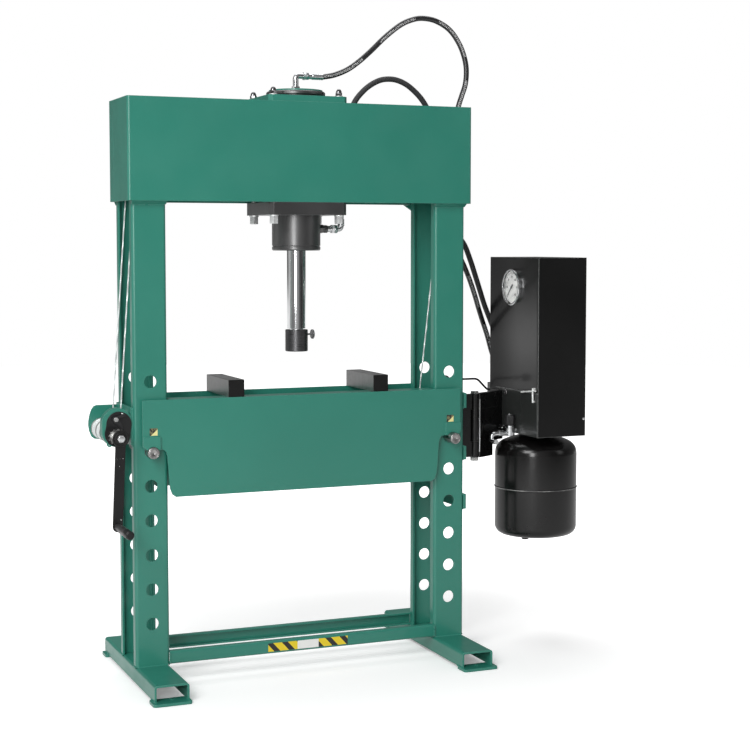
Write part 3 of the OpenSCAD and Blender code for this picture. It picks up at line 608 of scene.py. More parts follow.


# A dark copy of chrome: painted shade standing in for the dark reflections on the cap nuts.
nut_chrome_shade_painted = polished("nut_chrome_shade_painted", (0.20, 0.20, 0.205), 0.10)
head_zinc = polished("head_zinc", (0.86, 0.87, 0.87), 0.34, 0.02)
head_zinc.feed({"Metallic": 0.75})
cap_low, cap_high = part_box("cylinder_cap")
cylinder_x = (cap_low.x + cap_high.x) / 2
bolt_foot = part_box("tie_bolts")[0].z
head_bottom, head_top = [corner.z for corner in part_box("head_front_plate")]
flange_foot, plate_top = head_bottom - 0.037, head_top + 0.018
nut_foot, nut_dome, dome_radius = plate_top + 0.003, head_top + 0.0295, 0.0088
ties = Stock()
cap_nuts = Stock()
for x in (-0.102, 0.102):
    for y in (-0.092, 0.092):
        at = Vector((cylinder_x + x, y, 0))
        ties.turn([(0, 0), (0.0140, 0), (0.0145, 0.001), (0.0145, 0.004), (0, 0.004)],
                  at + UP * (flange_foot - 0.004), UP, 32)
        hexagon(ties, at + UP * bolt_foot, UP, 0.024, 0.0222, 0.3 + x * 9)
        ties.bar(at + UP * (flange_foot - 0.0035), UP, 0.007, 0.295)
        ties.turn([(0, 0), (0.012, 0), (0.0125, 0.0006), (0.0125, 0.0024), (0.012, 0.003), (0, 0.003)],
                  at + UP * plate_top, UP, 32)
        hexagon(cap_nuts, at + UP * nut_foot, UP, 0.018, 0.0092, 0.2 + y * 7)
        arc = [math.pi / 2 * k / 10 for k in range(10)]
        dome = [(dome_radius * math.cos(a), 0.0125 * math.sin(a)) for a in arc]
        cap_nuts.turn([(0, -0.0005), *dome, (0, 0.0125)], at + UP * nut_dome, UP, 32)
ties.make("tie_bolts_plated", head_zinc, "frame", "zinc_steel", ("tie_bolts",), crease=28)
cap_nuts.make("cap_nuts", nut_chrome_shade_painted, "frame", "chrome", crease=28)

# ---------- Cylinder ----------
# A thick black-painted tube held by a square flange under the head, with a slotted lock ring and
# a green cap on top. The rod is hard chrome; the press head is turned steel, held by a knurled
# thumb screw.
satin_black = enamel("satin_black", (0.017, 0.017, 0.0175), (0.16, 0.16, 0.16), 0.33, 0.82, 0.00004,
                     1.0)
satin_black.feed({"Coat Roughness": 0.36})
dress(["cylinder_flange", "cylinder_barrel", "lock_ring"], satin_black)
dress(["cylinder_cap"], green)
rod_chrome = polished("rod_chrome", (0.84, 0.85, 0.86), 0.045, 0.01, (1, 1, 0.1), 0.000004)
dress(["ram_rod"], rod_chrome)
turned_steel = Finish("turned_steel", {"Metallic": 1.0})
lathe_lines = turned_steel.noise(520, 2, (0.02, 0.02, 1))
rounded = turned_steel.round_edges(0.0012)
turned_steel.feed({
    "Base Color": turned_steel.mix(turned_steel.noise(30), (0.075, 0.075, 0.077),
                                   (0.125, 0.125, 0.13)),
    "Roughness": turned_steel.ramp(lathe_lines, 0.3, 0.7, 0.26, 0.42),
    "Normal": turned_steel.relief(lathe_lines, 0.00006, rounded),
})
dress(["press_head"], turned_steel)


def grooved(stock, foot, axis, side, rows, grooves, share, first, depth):
    """A round head grooved along its rim. Each row has a height, a radius and whether it is cut;
    the rim has share points a groove, of which the one numbered first is cut in by depth."""
    rings = []
    for height, radius, cut in rows:
        section = []
        for k in range(grooves * share):
            reach = radius - depth if cut and k % share == first else radius
            angle = math.tau * k / (grooves * share)
            section.append((reach * math.cos(angle), reach * math.sin(angle)))
        rings.append(stock.ring(Vector(foot) + axis * height, side, axis.cross(side), section))
    stock.loft(rings)


screw_steel = polished("screw_steel", (0.26, 0.26, 0.265), 0.24, 0.03)
screw_low, screw_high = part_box("thumb_screw")
screw_z, disc_thick = 0.998, 0.0064
screw = Stock()
screw.turn([(0, 0), (0.0026, 0), (0.003, 0.0004), (0.003, 0.0262), (0, 0.0262)],
           (screw_low.x, 0, screw_z), RIGHT, 24)
grooved(screw, (screw_high.x - disc_thick, 0, screw_z), RIGHT, BACK,
        ((0, 0.0130, False), (0.0011, 0.0144, True), (0.0053, 0.0144, True), (disc_thick, 0.0130, False)),
        36, 2, 1, 0.0007)
screw.make("thumb_screw_knurled", screw_steel, "thumb", "zinc_steel", ("thumb_screw",), crease=25)

# ---------- Hose fittings ----------
# Plated steel elbows screwed into the cap and into the side port, with hexagon swivel nuts. Each
# hose ends in a crimped ferrule with rings pressed into it; the side port's union is black.
fitting = polished("fitting_plate", (0.72, 0.73, 0.74), 0.12, 0.02)


def crimped(stock, foot, axis, radius, length, throat):
    """A crimped ferrule with four pressed rings and a rolled lip."""
    profile = [(throat, 0), (radius * 0.93, 0), (radius, 0.001)]
    for k in range(4):
        low = length * (0.14 + 0.2 * k)
        profile += [(radius, low), (radius * 0.94, low + 0.0012), (radius * 0.94, low + 0.0028),
                    (radius, low + 0.004)]
    profile += [(radius, length - 0.0012), (radius * 0.93, length), (throat, length)]
    stock.turn(profile, foot, axis, 32)
    stock.bar(foot, axis, throat, length)


elbow_z, stem_foot = 1.769, 1.7065
top = Stock()
top.bar((cylinder_x, 0, stem_foot), UP, 0.009, 0.026, 32)
hexagon(top, (cylinder_x, 0, cap_high.z), UP, 0.022, 0.0128, 0.2)
bend = [(0, elbow_z - 0.032), (0, elbow_z - 0.017), (0, elbow_z - 0.009), (0.003, elbow_z - 0.0028),
        (0.009, elbow_z), (0.024, elbow_z)]
top.sweep(spline([(cylinder_x + out, 0, z) for out, z in bend], 4), circle(0.0085, 24))
hexagon(top, (0.029, 0, elbow_z), RIGHT, 0.021, 0.008, 0.1)
hexagon(top, (0.0375, 0, elbow_z), RIGHT, 0.0205, 0.0085, 0.35)
top.turn([(0, 0), (0.0072, 0), (0.0085, 0.001), (0.0085, 0.0115), (0, 0.0115)], (0.046, 0, elbow_z),
         RIGHT, 32)
crimped(top, (0.057, 0, elbow_z), RIGHT, 0.0098, 0.0355, 0.0079)
top.make("top_fitting_plated", fitting, "frame", "chrome", ("top_fitting",), crease=28)

port_x, port_z, hose_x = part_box("cylinder_barrel")[1].x, 1.3147, 0.150
port = Stock()
port.bar((port_x - 0.0145, 0, port_z), RIGHT, 0.0079, 0.016)
union = Stock()
hexagon(union, (port_x + 0.0004, 0, port_z), RIGHT, 0.024, 0.012, 0.1)
hexagon(union, (port_x + 0.013, 0, port_z), RIGHT, 0.022, 0.013, 0.4)
union.make("side_union", satin_black, "frame", "black_paint", crease=28)
port.turn([(0, 0), (0.0085, 0), (0.0095, 0.001), (0.0095, 0.013), (0, 0.014)], (0.1042, 0, port_z),
          RIGHT, 32)
hexagon(port, (0.1172, 0, port_z), RIGHT, 0.024, 0.0095, 0.2)
hexagon(port, (0.1272, 0, port_z), RIGHT, 0.023, 0.0098, 0.45)
rise = [(-0.014, 0), (-0.007, 0), (-0.0025, 0.0022), (0, 0.007), (0, 0.011)]
port.sweep(spline([(hose_x + out, 0, port_z + up) for out, up in rise], 4), circle(0.0082, 24))
crimped(port, (hose_x, 0, port_z + 0.0093), UP, 0.0105, 0.021, 0.0084)
port.make("side_fitting_plated", fitting, "frame", "chrome", ("side_fitting",), crease=28)

# ---------- Press blocks and pins ----------
# Two hot-rolled steel bars laid across the bed, their rolled sides grey and their end faces coloured
# dark as painted shade, and the two turned pins that carry the bed: their ends are faced, chamfered
# and centre-drilled, with a painted highlight along their edges.
scale_steel = Finish("mill_scale", {})
rounded = scale_steel.round_edges(0.0012)
edge = scale_steel.on_edge(rounded)
flakes = scale_steel.noise(55, 5)
streak = scale_steel.noise(30, 4, (1, 0.08, 1))
bare = scale_steel.ramp(edge, 0.05, 0.4, 0, 0.8)
# End faces, facing along Y, take a far darker colour than the sides: painted shade.
shaded_ends = scale_steel.ramp(abs(scale_steel.part(scale_steel.facing(), "Y")), 0.6, 0.9)
rolled_colour = scale_steel.mix(scale_steel.ramp(flakes, 0.35, 0.65), (0.30, 0.30, 0.30),
                                (0.36, 0.36, 0.36))
face_colour = scale_steel.mix(shaded_ends, rolled_colour, (0.028, 0.028, 0.028))
scale_steel.feed({
    "Base Color": scale_steel.mix(bare, face_colour, (0.20, 0.20, 0.20)),
    "Metallic": scale_steel.ramp(streak, 0.4, 0.7, 0.88, 0.94),
    "Roughness": scale_steel.ramp(flakes, 0.3, 0.7, 0.30, 0.38),
    "Normal": scale_steel.relief(flakes, 0.00005, rounded),
})
dress(["press_blocks"], scale_steel)

pin_steel = Finish("pin_steel", {"Metallic": 1.0})
rounded = pin_steel.round_edges(0.0008)
edge = pin_steel.on_edge(rounded)
rings_cut = pin_steel.noise(260, 2, (1, 0.05, 1))
# Edges turn light grey: a painted highlight.
pin_steel.feed({
    "Base Color": pin_steel.mix(pin_steel.ramp(edge, 0.03, 0.3), (0.34, 0.33, 0.325),
                                (0.75, 0.75, 0.74)),
    "Roughness": pin_steel.ramp(rings_cut, 0.3, 0.7, 0.26, 0.40),
    "Normal": pin_steel.relief(rings_cut, 0.00005, rounded),
})
for name, body in (("pin_left", "pin_l"), ("pin_right", "pin_r")):
    low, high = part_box(name)
    x, z, radius = (low.x + high.x) / 2, (low.z + high.z) / 2, (high.x - low.x) / 2
    length = high.y - low.y
    profile = [(0, 0.0030), (0.0012, 0.0016), (0.0026, 0.0006), (0.0118, 0.0006), (0.0122, 0.0012),
               (0.0130, 0.0012), (0.0136, 0), (radius - 0.0026, 0), (radius - 0.0007, 0.0008),
               (radius, 0.0026)]
    profile += [(r, length - h) for r, h in reversed(profile)]
    pin = Stock().turn(profile, (x, low.y, z), BACK, 64)
    pin.make(name + "_turned", pin_steel, body, "mill_steel", (name,), crease=50)

# ---------- Wire ropes ----------
# Six strands of bright galvanised wire, laid round each other: one turn every 32 mm. Two ropes
# rise from the drum to the pulleys, and their falls carry the bed.
strand = Finish("galvanised_rope", {"Metallic": 0.55})
wires = strand.mark("along") * 900 + strand.mark("around") * 3
strand.feed({
    "Base Color": strand.mix(strand.noise(60), (0.72, 0.76, 0.75), (0.90, 0.94, 0.93)),
    "Roughness": strand.vary(0.28, 0.42, 120),
    "Normal": strand.relief(abs(wires % 1 - 0.5), 0.00025),
})
rope_radius = 0.0025
lay_turn = math.tau / 0.032
lobes = []
for k in range(18):
    angle = math.tau * k / 18
    reach = rope_radius * (0.90 + 0.10 * math.cos(6 * angle))
    lobes.append((reach * math.cos(angle), reach * math.sin(angle)))


def lay_rope(stock, line, step=0.006):
    """Draws a rope along a line, with rings no further apart than step."""
    line = [Vector(point) for point in line]
    fine = line[:1]
    for a, b in zip(line, line[1:]):
        parts = max(math.ceil((b - a).length / step), 1)
        fine += [a.lerp(b, k / parts) for k in range(1, parts + 1)]
    stock.sweep(fine, lobes, lay_turn)


coil_low, coil_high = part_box("rope_coils")
drum_x, drum_z = (coil_low.x + coil_high.x) / 2, (coil_low.z + coil_high.z) / 2
coil_radius = (coil_high.x - coil_low.x) / 2 - rope_radius
pulley_z = 1.560
pulley_left_x, pulley_right_x = -0.456, 0.477
groove_line = 0.0268
cross_y, fall_y = 0.078, 0.012
fall_lean = 6.5


def over_pulley(x, y, start, end):
    """The rope's line over a pulley, from one angle to another, in degrees."""
    angles = [math.radians(start + (end - start) * k / 24) for k in range(25)]
    return [(x + groove_line * math.cos(a), y, pulley_z + groove_line * math.sin(a)) for a in angles]


off_drum = math.radians(-5)
leave_x, leave_z = drum_x + coil_radius * math.cos(off_drum), drum_z + coil_radius * math.sin(off_drum)
crossing_z = pulley_z + groove_line
back_rope = [(leave_x, 0.0445, leave_z), *over_pulley(pulley_left_x, cross_y, 175, 90),
             (0.104, 0.0809, crossing_z), (0.112, 0.0812, crossing_z), (0.120, 0.0805, crossing_z),
             *over_pulley(pulley_right_x, fall_y, 90, -fall_lean)]
front_rope = [(leave_x, -0.049, leave_z), *over_pulley(pulley_left_x, -fall_y, 175, 0)]
runs = Stock()
for line in (back_rope, front_rope):
    lay_rope(runs, line)
runs.make("ropes_rising", strand, "frame", "wire_rope", ("rope_runs",), crease=60)

eye_x, eye_top = 0.415, 0.7906
falls = Stock()
lay_rope(falls, [(eye_x, fall_y, eye_top), back_rope[-1]])
lay_rope(falls, [(-eye_x, -fall_y, eye_top), front_rope[-1]])
fall_piece = falls.make("rope_falls_laid", strand, "frame", "wire_rope", ("rope_falls",), crease=60)
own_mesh(fall_piece)

# The turns on the drum lie against each other, each rope in its own half between the flanges.
turn_count, steps = 8.25, 363
first_y, last_y = 0.0058, 0.0492
turns = Stock()
for side in (1, -1):
    helix = []
    for k in range(steps + 1):
        angle = off_drum + math.tau * turn_count * (1 - k / steps)
        helix.append((drum_x + coil_radius * math.cos(angle),
                      side * (first_y + (last_y - first_y) * k / steps),
                      drum_z + coil_radius * math.sin(angle)))
    turns.sweep(helix, lobes, lay_turn)
turns.make("rope_turns", strand, "drum", "wire_rope", ("rope_coils",), crease=60)

# ---------- Winch ----------
# A green welded housing on the left column. Its drum and pulleys are zinc-plated, and the gear lid,
# crank and pawl are black. The grip is a grey tube with a black plastic end, free on a black stud.
pulley_steel = polished("pulley_zinc", (0.50, 0.50, 0.49), 0.30, 0.03, (1, 0.1, 1), 0.00004)
dress(["winch_drum", "pulley_left", "pulley_right", "pulley_axles"], pulley_steel)
lid_black = enamel("lid_black", (0.010, 0.010, 0.0105), (0.12, 0.13, 0.13), 0.34, 0.25, 0.0001, 0.3)
dress(["winch_cover"], lid_black)
dress(["crank_shaft"], zinc)
pawl_steel = polished("pawl_steel", (0.060, 0.060, 0.062), 0.38, 0.04)
dress(["pawl"], pawl_steel)

shaft_x, shaft_z = -0.5685, 0.725
arm_turn = math.radians(-92.6)
arm_length = 0.250
along_arm = Vector((math.cos(arm_turn), 0, math.sin(arm_turn)))
across_arm = Vector((-along_arm.z, 0, along_arm.x))
shaft = Vector((shaft_x, 0, shaft_z))
grip = shaft + arm_length * along_arm


def rounded_end(centre, radius, first, last, steps):
    """Points on an arc about centre, from first to last degrees round from the arm's direction."""
    angles = [math.radians(first + (last - first) * k / steps) for k in range(steps + 1)]
    return [centre + radius * (math.cos(a) * along_arm + math.sin(a) * across_arm) for a in angles]


arm_black = enamel("arm_black", (0.0075, 0.0073, 0.0075), (0.10, 0.10, 0.10), 0.36, 0.12, 0.00012,
                   0.25)
boss_radius, arm_half, neck = 0.020, 0.0135, 0.030
arm_outline = [*rounded_end(shaft, boss_radius, 48, 312, 24),
               shaft + neck * along_arm - arm_half * across_arm,
               *rounded_end(grip, arm_half, -90, 90, 12),
               shaft + neck * along_arm + arm_half * across_arm]
arm_front, arm_back = -0.140, -0.1322
arm = Stock().plate([(point.x, point.z) for point in arm_outline], "Y", arm_front, arm_back)
arm.make("crank_arm_forged", arm_black, "crank", "black_paint", ("crank_arm",), edge=0.0012)
dimples = Stock()
for aside, down, size in ((-0.0085, 0.057, 0.0008), (0.0, 0.057, 0.0008), (0.0085, 0.057, 0.0010),
                          (-0.001, 0.078, 0.0010), (0.009, 0.230, 0.0020)):
    spot = shaft + down * along_arm + aside * RIGHT + (arm_front - 0.0002) * BACK
    dimples.turn([(0, -0.0004), (size * 0.9, -0.0003), (size, 0.0003), (0, 0.0010)], spot, FRONT, 16)
dimples.make("crank_rivets", zinc, "crank", "zinc_steel", crease=40)
hub = Stock()
hub.turn([(0.0085, 0), (0.0235, 0), (0.0240, 0.0006), (0.0240, 0.0022), (0.0228, 0.0030),
          (0.0200, 0.0030), (0.0192, 0.0018), (0.0172, 0.0018), (0.0165, 0.0042), (0.0142, 0.0046),
          (0.0085, 0.0046)], (shaft_x, -0.1398, shaft_z), FRONT, 64, True)
hub.make("crank_hub_rings", arm_black, "crank", "black_paint", crease=30)
nut = Stock()
hexagon(nut, (shaft_x, -0.1436, shaft_z), FRONT, 0.0195, 0.0054, 0.25)
nut.turn([(0, 0), (0.0072, 0), (0.0064, 0.0012), (0, 0.0014)], (shaft_x, -0.1490, shaft_z), FRONT, 32)
nut.make("crank_nut", chrome, "crank", "chrome", crease=28)

stud_front, stud_radius = -0.2900, 0.006
stud = Stock()
stud.bar((grip.x, stud_front + 0.005, grip.z), BACK, stud_radius, 0.152, 32)
stud.turn([(0, 0), (0.0086, 0), (0.0095, 0.001), (0.0095, 0.0035), (0, 0.0045)],
          (grip.x, stud_front, grip.z), BACK, 32)
stud.make("grip_stud", arm_black, "crank", "black_paint", crease=40)
grip_black = flecked("grip_plastic", {"Specular IOR Level": 0.5}, (0.008, 0.008, 0.0085),
                     (0.014, 0.014, 0.0145), 50, (0.30, 0.45))
rounded = grip_black.round_edges(0.001)
grip_black.feed({"Normal": grip_black.relief(grip_black.noise(700, 2), 0.0001, rounded)})
grip_grey = polished("grip_sleeve", (0.26, 0.25, 0.255), 0.34, 0.03, (1, 0.2, 1))
end_front = stud_front + 0.0051
bore = stud_radius + 0.0001
grip_end = Stock().turn(
    [(bore, 0), (0.0100, 0), (0.0118, 0.0012), (0.0126, 0.0045), (0.0126, 0.038), (0.0120, 0.040),
     (bore, 0.040)], (grip.x, end_front, grip.z), BACK, 48, True)
grip_end.make("grip_end", grip_black, "grip", "black_plastic", ("crank_grip",), crease=30)
grip_tube = Stock().turn(
    [(bore, 0), (0.0120, 0), (0.0121, 0.058), (0.0108, 0.068), (0.0095, 0.086), (0.0095, 0.1035),
     (bore, 0.1035)], (grip.x, end_front + 0.0401, grip.z), BACK, 48, True)
grip_tube.make("grip_tube", grip_grey, "grip", "zinc_steel", crease=30)

# Screws of the winch lid, the pawl's pivot and the small green locating ring under the drum.
pawl_x, pawl_z, lid_face = -0.5725, 0.775, -0.0899
screws = Stock()
hexagon(screws, (pawl_x, -0.1016, pawl_z), FRONT, 0.0125, 0.004, 0.3)
for x, z in ((-0.5375, 0.7065), (-0.550, 0.788)):
    screws.turn([(0, 0), (0.0042, 0), (0.0040, 0.0012), (0.0028, 0.0022), (0, 0.0024)],
                (x, lid_face, z), FRONT, 24)
screws.make("winch_screws", zinc, "frame", "zinc_steel", crease=28)
ring = Stock().turn([(0.0036, 0), (0.0078, 0), (0.0084, 0.0010), (0.0078, 0.0020), (0.0036, 0.0020)],
                    (-0.5885, winch_low.y - 0.0001, 0.7045), FRONT, 32, True)
ring.make("winch_ring", green, "frame", "green_paint", crease=40)

# ---------- Power unit bracket ----------
# A black steel hinge bolted to the right column's ties: a zinc-plated bolt with a nut at each end
# joins its knuckles, a thin bright rod stands beside it, and the arm behind it carries the unit.
bracket_black = enamel("bracket_black", (0.0055, 0.0055, 0.0057), (0.08, 0.08, 0.08), 0.26, 0.25,
                       0.00006, 0.25)
dress(["hinge_bracket", "swing_arm"], bracket_black)
hinge_low, hinge_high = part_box("hinge_pin")
hinge_x = (hinge_low.x + hinge_high.x) / 2
knuckle_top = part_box("hinge_bracket")[1].z
bolt = Stock()
bolt.turn([(0, 0), (0.0070, 0), (0.008, 0.001), (0.008, 0.215), (0, 0.2155)],
          (hinge_x, 0, hinge_low.z + 0.0006), UP, 32)
hexagon(bolt, (hinge_x, 0, knuckle_top + 0.0002), UP, 0.024, 0.0078, 0.4)
hexagon(bolt, (hinge_x, 0, hinge_low.z + 0.0012), UP, 0.024, 0.0125, 0.2)
bolt.make("hinge_bolt", zinc, "frame", "zinc_steel", ("hinge_pin",), crease=28)
plate_x = 0.5368
plate_bolts = Stock()
for y in (-0.046, 0.046):
    for z in (0.620, 0.774):
        hexagon(plate_bolts, (plate_x, y, z), RIGHT, 0.013, 0.0055, 0.2 + z)
plate_bolts.make("bracket_bolts", zinc, "frame", "zinc_steel", crease=28)
rod = Stock().bar((hinge_x + 0.0130, -0.0110, 0.613), UP, 0.0022, 0.168, 16)
rod.make("hinge_bright_rod", chrome, "unit", "chrome", crease=40)
arm_welds = Stock()
for z in (0.600, 0.750):
    for y in (-0.0075, 0.0075):
        bead(arm_welds, (plate_x, y, z), (plate_x, y, z + 0.045), 0.0026)
arm_welds.make("bracket_welds", bracket_black, "frame", "weld", crease=80)

# ---------- Control box ----------
# A tall box folded from thin sheet in gloss black enamel, softly waved, with a painted highlight along
# its folds. A lower cover with a cross handle closes the foot of its left side, and round-headed
# screws hold the other sides.
gloss = Finish("gloss_black", {"Coat Roughness": 0.14, "Specular IOR Level": 0.2})
rounded = gloss.round_edges(0.0026)
edge = gloss.on_edge(rounded)
wave = gloss.noise(3.0, 1, (1, 1, 0.5))
gloss.feed({
    # Along the folds the colour turns light: a painted highlight.
    "Base Color": gloss.mix(gloss.ramp(edge, 0.02, 0.25, 0, 0.8),
                            gloss.mix(gloss.noise(4), (0.0045, 0.0045, 0.0045),
                                      (0.0070, 0.0070, 0.0070)), (0.50, 0.52, 0.51)),
    "Roughness": gloss.vary(0.30, 0.38, 6, 4),
    "Coat Weight": gloss.vary(0.85, 1.0, 5, 3)
    * gloss.ramp(gloss.axis("Y"), 0.13, -0.07, 0.10, 1.0)
    * gloss.ramp(gloss.axis("Y"), -0.1665, -0.1500, 0.10, 1.0)
    * gloss.ramp(gloss.axis("Z"), 1.20, 0.95, 0.15, 1.0),
    "Normal": gloss.relief(gloss.noise(240, 2), 0.00003, gloss.relief(wave, 0.012, rounded)),
})
box_low, box_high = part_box("box_cover")
dress(["box_cover", "box_back"], gloss)
face_x = box_low.x
cover_black = enamel("cover_black", (0.026, 0.028, 0.027), (0.20, 0.20, 0.20), 0.34, 0.25, 0.00004, 0.4)
cover_front, cover_height = box_low.y + 0.0005, (box_low.z + 0.0005, 0.8035)
plate_front, plate_back = -0.0605, 0.0665
lower = Stock()
lower.panel("X", (cover_front, plate_front), cover_height, face_x - 0.0038, face_x)
lower.panel("X", (plate_front, plate_back), cover_height, face_x - 0.0038, face_x - 0.0031)
lower.make("lower_cover", cover_black, "unit", "gloss_black")
seam = Stock().panel("X", (cover_front, 0.118), (0.8040, 0.8062), face_x - 0.0016, face_x + 0.0004)
seam.make("box_cover_edge", gloss, "unit", "gloss_black", edge=0.0005)
handle_x, bar_y, handle_radius = face_x - 0.0080, -0.148, 0.0030
handle = Stock()
handle.sweep(spline([(handle_x + 0.0005, -0.164, 0.8145), (handle_x, -0.132, 0.8107),
                     (handle_x, -0.100, 0.8070), (handle_x + 0.0005, -0.071, 0.8036)], 4),
             circle(handle_radius, 16))
handle.sweep([(handle_x, bar_y, 0.8220), (handle_x - 0.0004, bar_y, 0.8090),
              (handle_x, bar_y, 0.7770)], circle(handle_radius, 16))
for y, z in ((bar_y, 0.819), (bar_y, 0.780), (-0.075, 0.8040)):
    handle.turn([(0, 0), (0.0036, 0), (0.0040, 0.0006), (0.0036, 0.0066), (0, 0.0070)],
                (face_x + 0.0002, y, z), LEFT, 20)
handle_bright = flecked("handle_bright", {"Metallic": 0.3}, (0.78, 0.79, 0.78), (0.92, 0.93, 0.92), 60,
                        (0.22, 0.34))
handle.make("cover_handle", handle_bright, "unit", "chrome", crease=40)
grommet = Stock().turn([(0.0042, 0), (0.0088, 0), (0.0095, 0.0008), (0.0088, 0.0022), (0.0042, 0.0022)],
                       (face_x - 0.0036, 0.045, 0.7940), LEFT, 32, True)
grommet.make("cover_grommet", grip_grey, "unit", "black_plastic", crease=40)


def box_screw(at, axis, radius, rim, crown, height):
    """A round-headed sheet screw, sunk a little in the sheet."""
    box_screws.turn([(0, -0.0004), (radius, -0.0004), (radius - 0.0002, rim), (crown, height - 0.0002),
                     (0, height)], at, axis, 24)


box_screws = Stock()
for z in (0.720, 1.180):
    for y in (-0.150, 0.150):
        box_screw((box_high.x, y, z), RIGHT, 0.0046, 0.0010, 0.0030, 0.0024)
    for x in (0.757, 0.898):
        box_screw((x, box_high.y + 0.004, z), BACK, 0.0040, 0.0010, 0.0026, 0.0022)
box_screw((0.9022, box_low.y, 0.722), FRONT, 0.0042, 0.0008, 0.0026, 0.0018)
box_screws.make("box_screws", chrome, "unit", "chrome", crease=28)

# ---------- Gauge ----------
# A pressure gauge let into the box: polished bezel, white enamelled dial with a plain scale, a
# black pointer and a flat glass.
bezel_metal = polished("bezel_steel", (0.74, 0.75, 0.76), 0.10, 0.02)
gauge_y, gauge_z, bezel_x = 0.005, 1.132, 0.740
case = Stock()
case.turn([(0.0520, 0.0070), (0.0524, 0.0104), (0.0545, 0.0111), (0.0565, 0.0108), (0.0578, 0.0096),
           (0.0582, 0.0080), (0.0580, 0.0012), (0.0572, 0.0004), (0.0452, 0.0004), (0.0450, -0.0375),
           (0.0, -0.0380), (0.0, 0.0030), (0.0520, 0.0030)], (bezel_x, gauge_y, gauge_z), LEFT, 96)
case.bar((bezel_x + 0.0375, gauge_y, gauge_z - 0.030), RIGHT, 0.007, 0.0145)
case.make("gauge_bezel", bezel_metal, "unit", "chrome", ("gauge_case",), crease=30)
enamel_white = flecked("dial_white", {"Roughness": 0.35}, (0.90, 0.90, 0.88), (0.95, 0.95, 0.93), 20)
dial_x = 0.7366
dial = Stock().bar((dial_x + 0.0006, gauge_y, gauge_z), LEFT, 0.0518, 0.0004, 64)
dial.make("dial_plate", enamel_white, "unit", "dial_white")
ink = flecked("dial_ink", {"Roughness": 0.5}, (0.010, 0.010, 0.011), (0.022, 0.022, 0.023), 40)


def dial_way(angle):
    """The direction from the dial's middle at an angle up from the reader's right."""
    return Vector((0, -math.cos(angle), math.sin(angle)))


def scale_angle(share):
    """The angle on the dial at a share of the scale, from 225 degrees round to -45."""
    return math.radians(225 - 270 * share)


dial_face = Vector((dial_x, gauge_y, gauge_z))
ticks, tick_end, tick_thick = 60, 0.0475, 0.0003
marks = Stock()
for k in range(ticks + 1):
    way = dial_way(scale_angle(k / ticks))
    inner = 0.0395 if k % 10 == 0 else 0.0425 if k % 5 == 0 else 0.0445
    half = 0.00055 if k % 10 == 0 else 0.0003
    aside = way.cross(RIGHT) * half
    corners = [way * inner - aside, way * tick_end - aside, way * tick_end + aside, way * inner + aside]
    marks.loft([[marks.shape.verts.new(dial_face + corner + depth * RIGHT) for corner in corners]
                for depth in (tick_thick - 0.0002, -0.0002)])
facing_left = Matrix(((0, 0, -1), (-1, 0, 0), (0, 1, 0))).to_4x4()
numbers = 6
for k in range(numbers + 1):
    number = bpy.data.curves.new("number", "FONT")
    number.body = str(k * 10)
    number.size = 0.0098
    number.align_x, number.align_y = "CENTER", "CENTER"
    number.extrude = 0.0001
    number.resolution_u = 3
    written = bpy.data.objects.new("number", number)
    flat = bpy.data.meshes.new_from_object(written)
    at = dial_face + 0.0325 * dial_way(scale_angle(k / numbers)) + 0.0003 * LEFT
    flat.transform(Matrix.Translation(at) @ facing_left)
    marks.shape.from_mesh(flat)
    bpy.data.objects.remove(written)
marks.make("dial_marks", ink, "unit", "needle_black", crease=30)
needle = Stock()
point = dial_way(scale_angle(0))
aside = point.cross(RIGHT)
hub_at = Vector((0.7348, gauge_y, gauge_z))
edge_line = [(-0.0125, 0.0030), (-0.010, 0.0032), (0.0, 0.0017), (0.041, 0.0005)]
blade = [(u, -v) for u, v in edge_line] + edge_line[::-1]
needle.loft([[needle.shape.verts.new(hub_at + point * u + aside * v + LEFT * lift) for u, v in blade]
             for lift in (0.0, 0.0008)])
needle.turn([(0.0016, 0), (0.0046, 0), (0.0048, 0.0006), (0.0036, 0.0016), (0.0016, 0.0016)],
            hub_at, LEFT, 32, True)
needle.make("needle_blade", ink, "needle", "needle_black", ("gauge_needle",), crease=30)
glass = Finish("gauge_glass", {"Base Color": (1, 1, 1), "Transmission Weight": 1.0, "IOR": 1.25})
glass.feed({"Roughness": glass.vary(0.0, 0.012, 8)})
dress(["gauge_glass"], glass)

# ---------- Tank ----------
# A pressed-steel oil tank, gloss black: two drawn halves joined by a rolled seam whose crest is
# coloured light as a painted highlight, with a short drain boss below. The motor and its neck inside
# are dull black.
tank_black = enamel("tank_black", (0.0050, 0.0046, 0.0046), (0.09, 0.09, 0.09), 0.22, 0.40, 0.00004,
                    0.25)
tank_black.feed({"Coat Roughness": 0.22})
tank_x, tank_radius, tank_foot, foot_round, wall = 0.823, 0.131, 0.3380, 0.029, 0.004
seam_z = 0.4915
profile = [(0, tank_foot), (0.085, tank_foot)]
for k in range(9):
    angle = math.radians(-90 + 90 * k / 8)
    profile.append((tank_radius - foot_round + foot_round * math.cos(angle),
                    tank_foot + foot_round + foot_round * math.sin(angle)))
rim = [(0, 0.0032), (0.0008, 0.0022), (0.0015, 0.0010)]
profile += [(tank_radius + out, seam_z - off) for out, off in rim]
profile += [(tank_radius + out, seam_z + off) for out, off in reversed(rim)]
shoulder = [(tank_radius, 0.6000), (0.1286, 0.6148), (0.1222, 0.6262), (0.1122, 0.6356),
            (0.098, 0.6427), (0.081, 0.6486), (0.067, 0.6528), (0.056, 0.6556), (0.0408, 0.6562)]
profile += [(p.x, p.z) for p in spline([(r, 0, z) for r, z in shoulder], 3)]
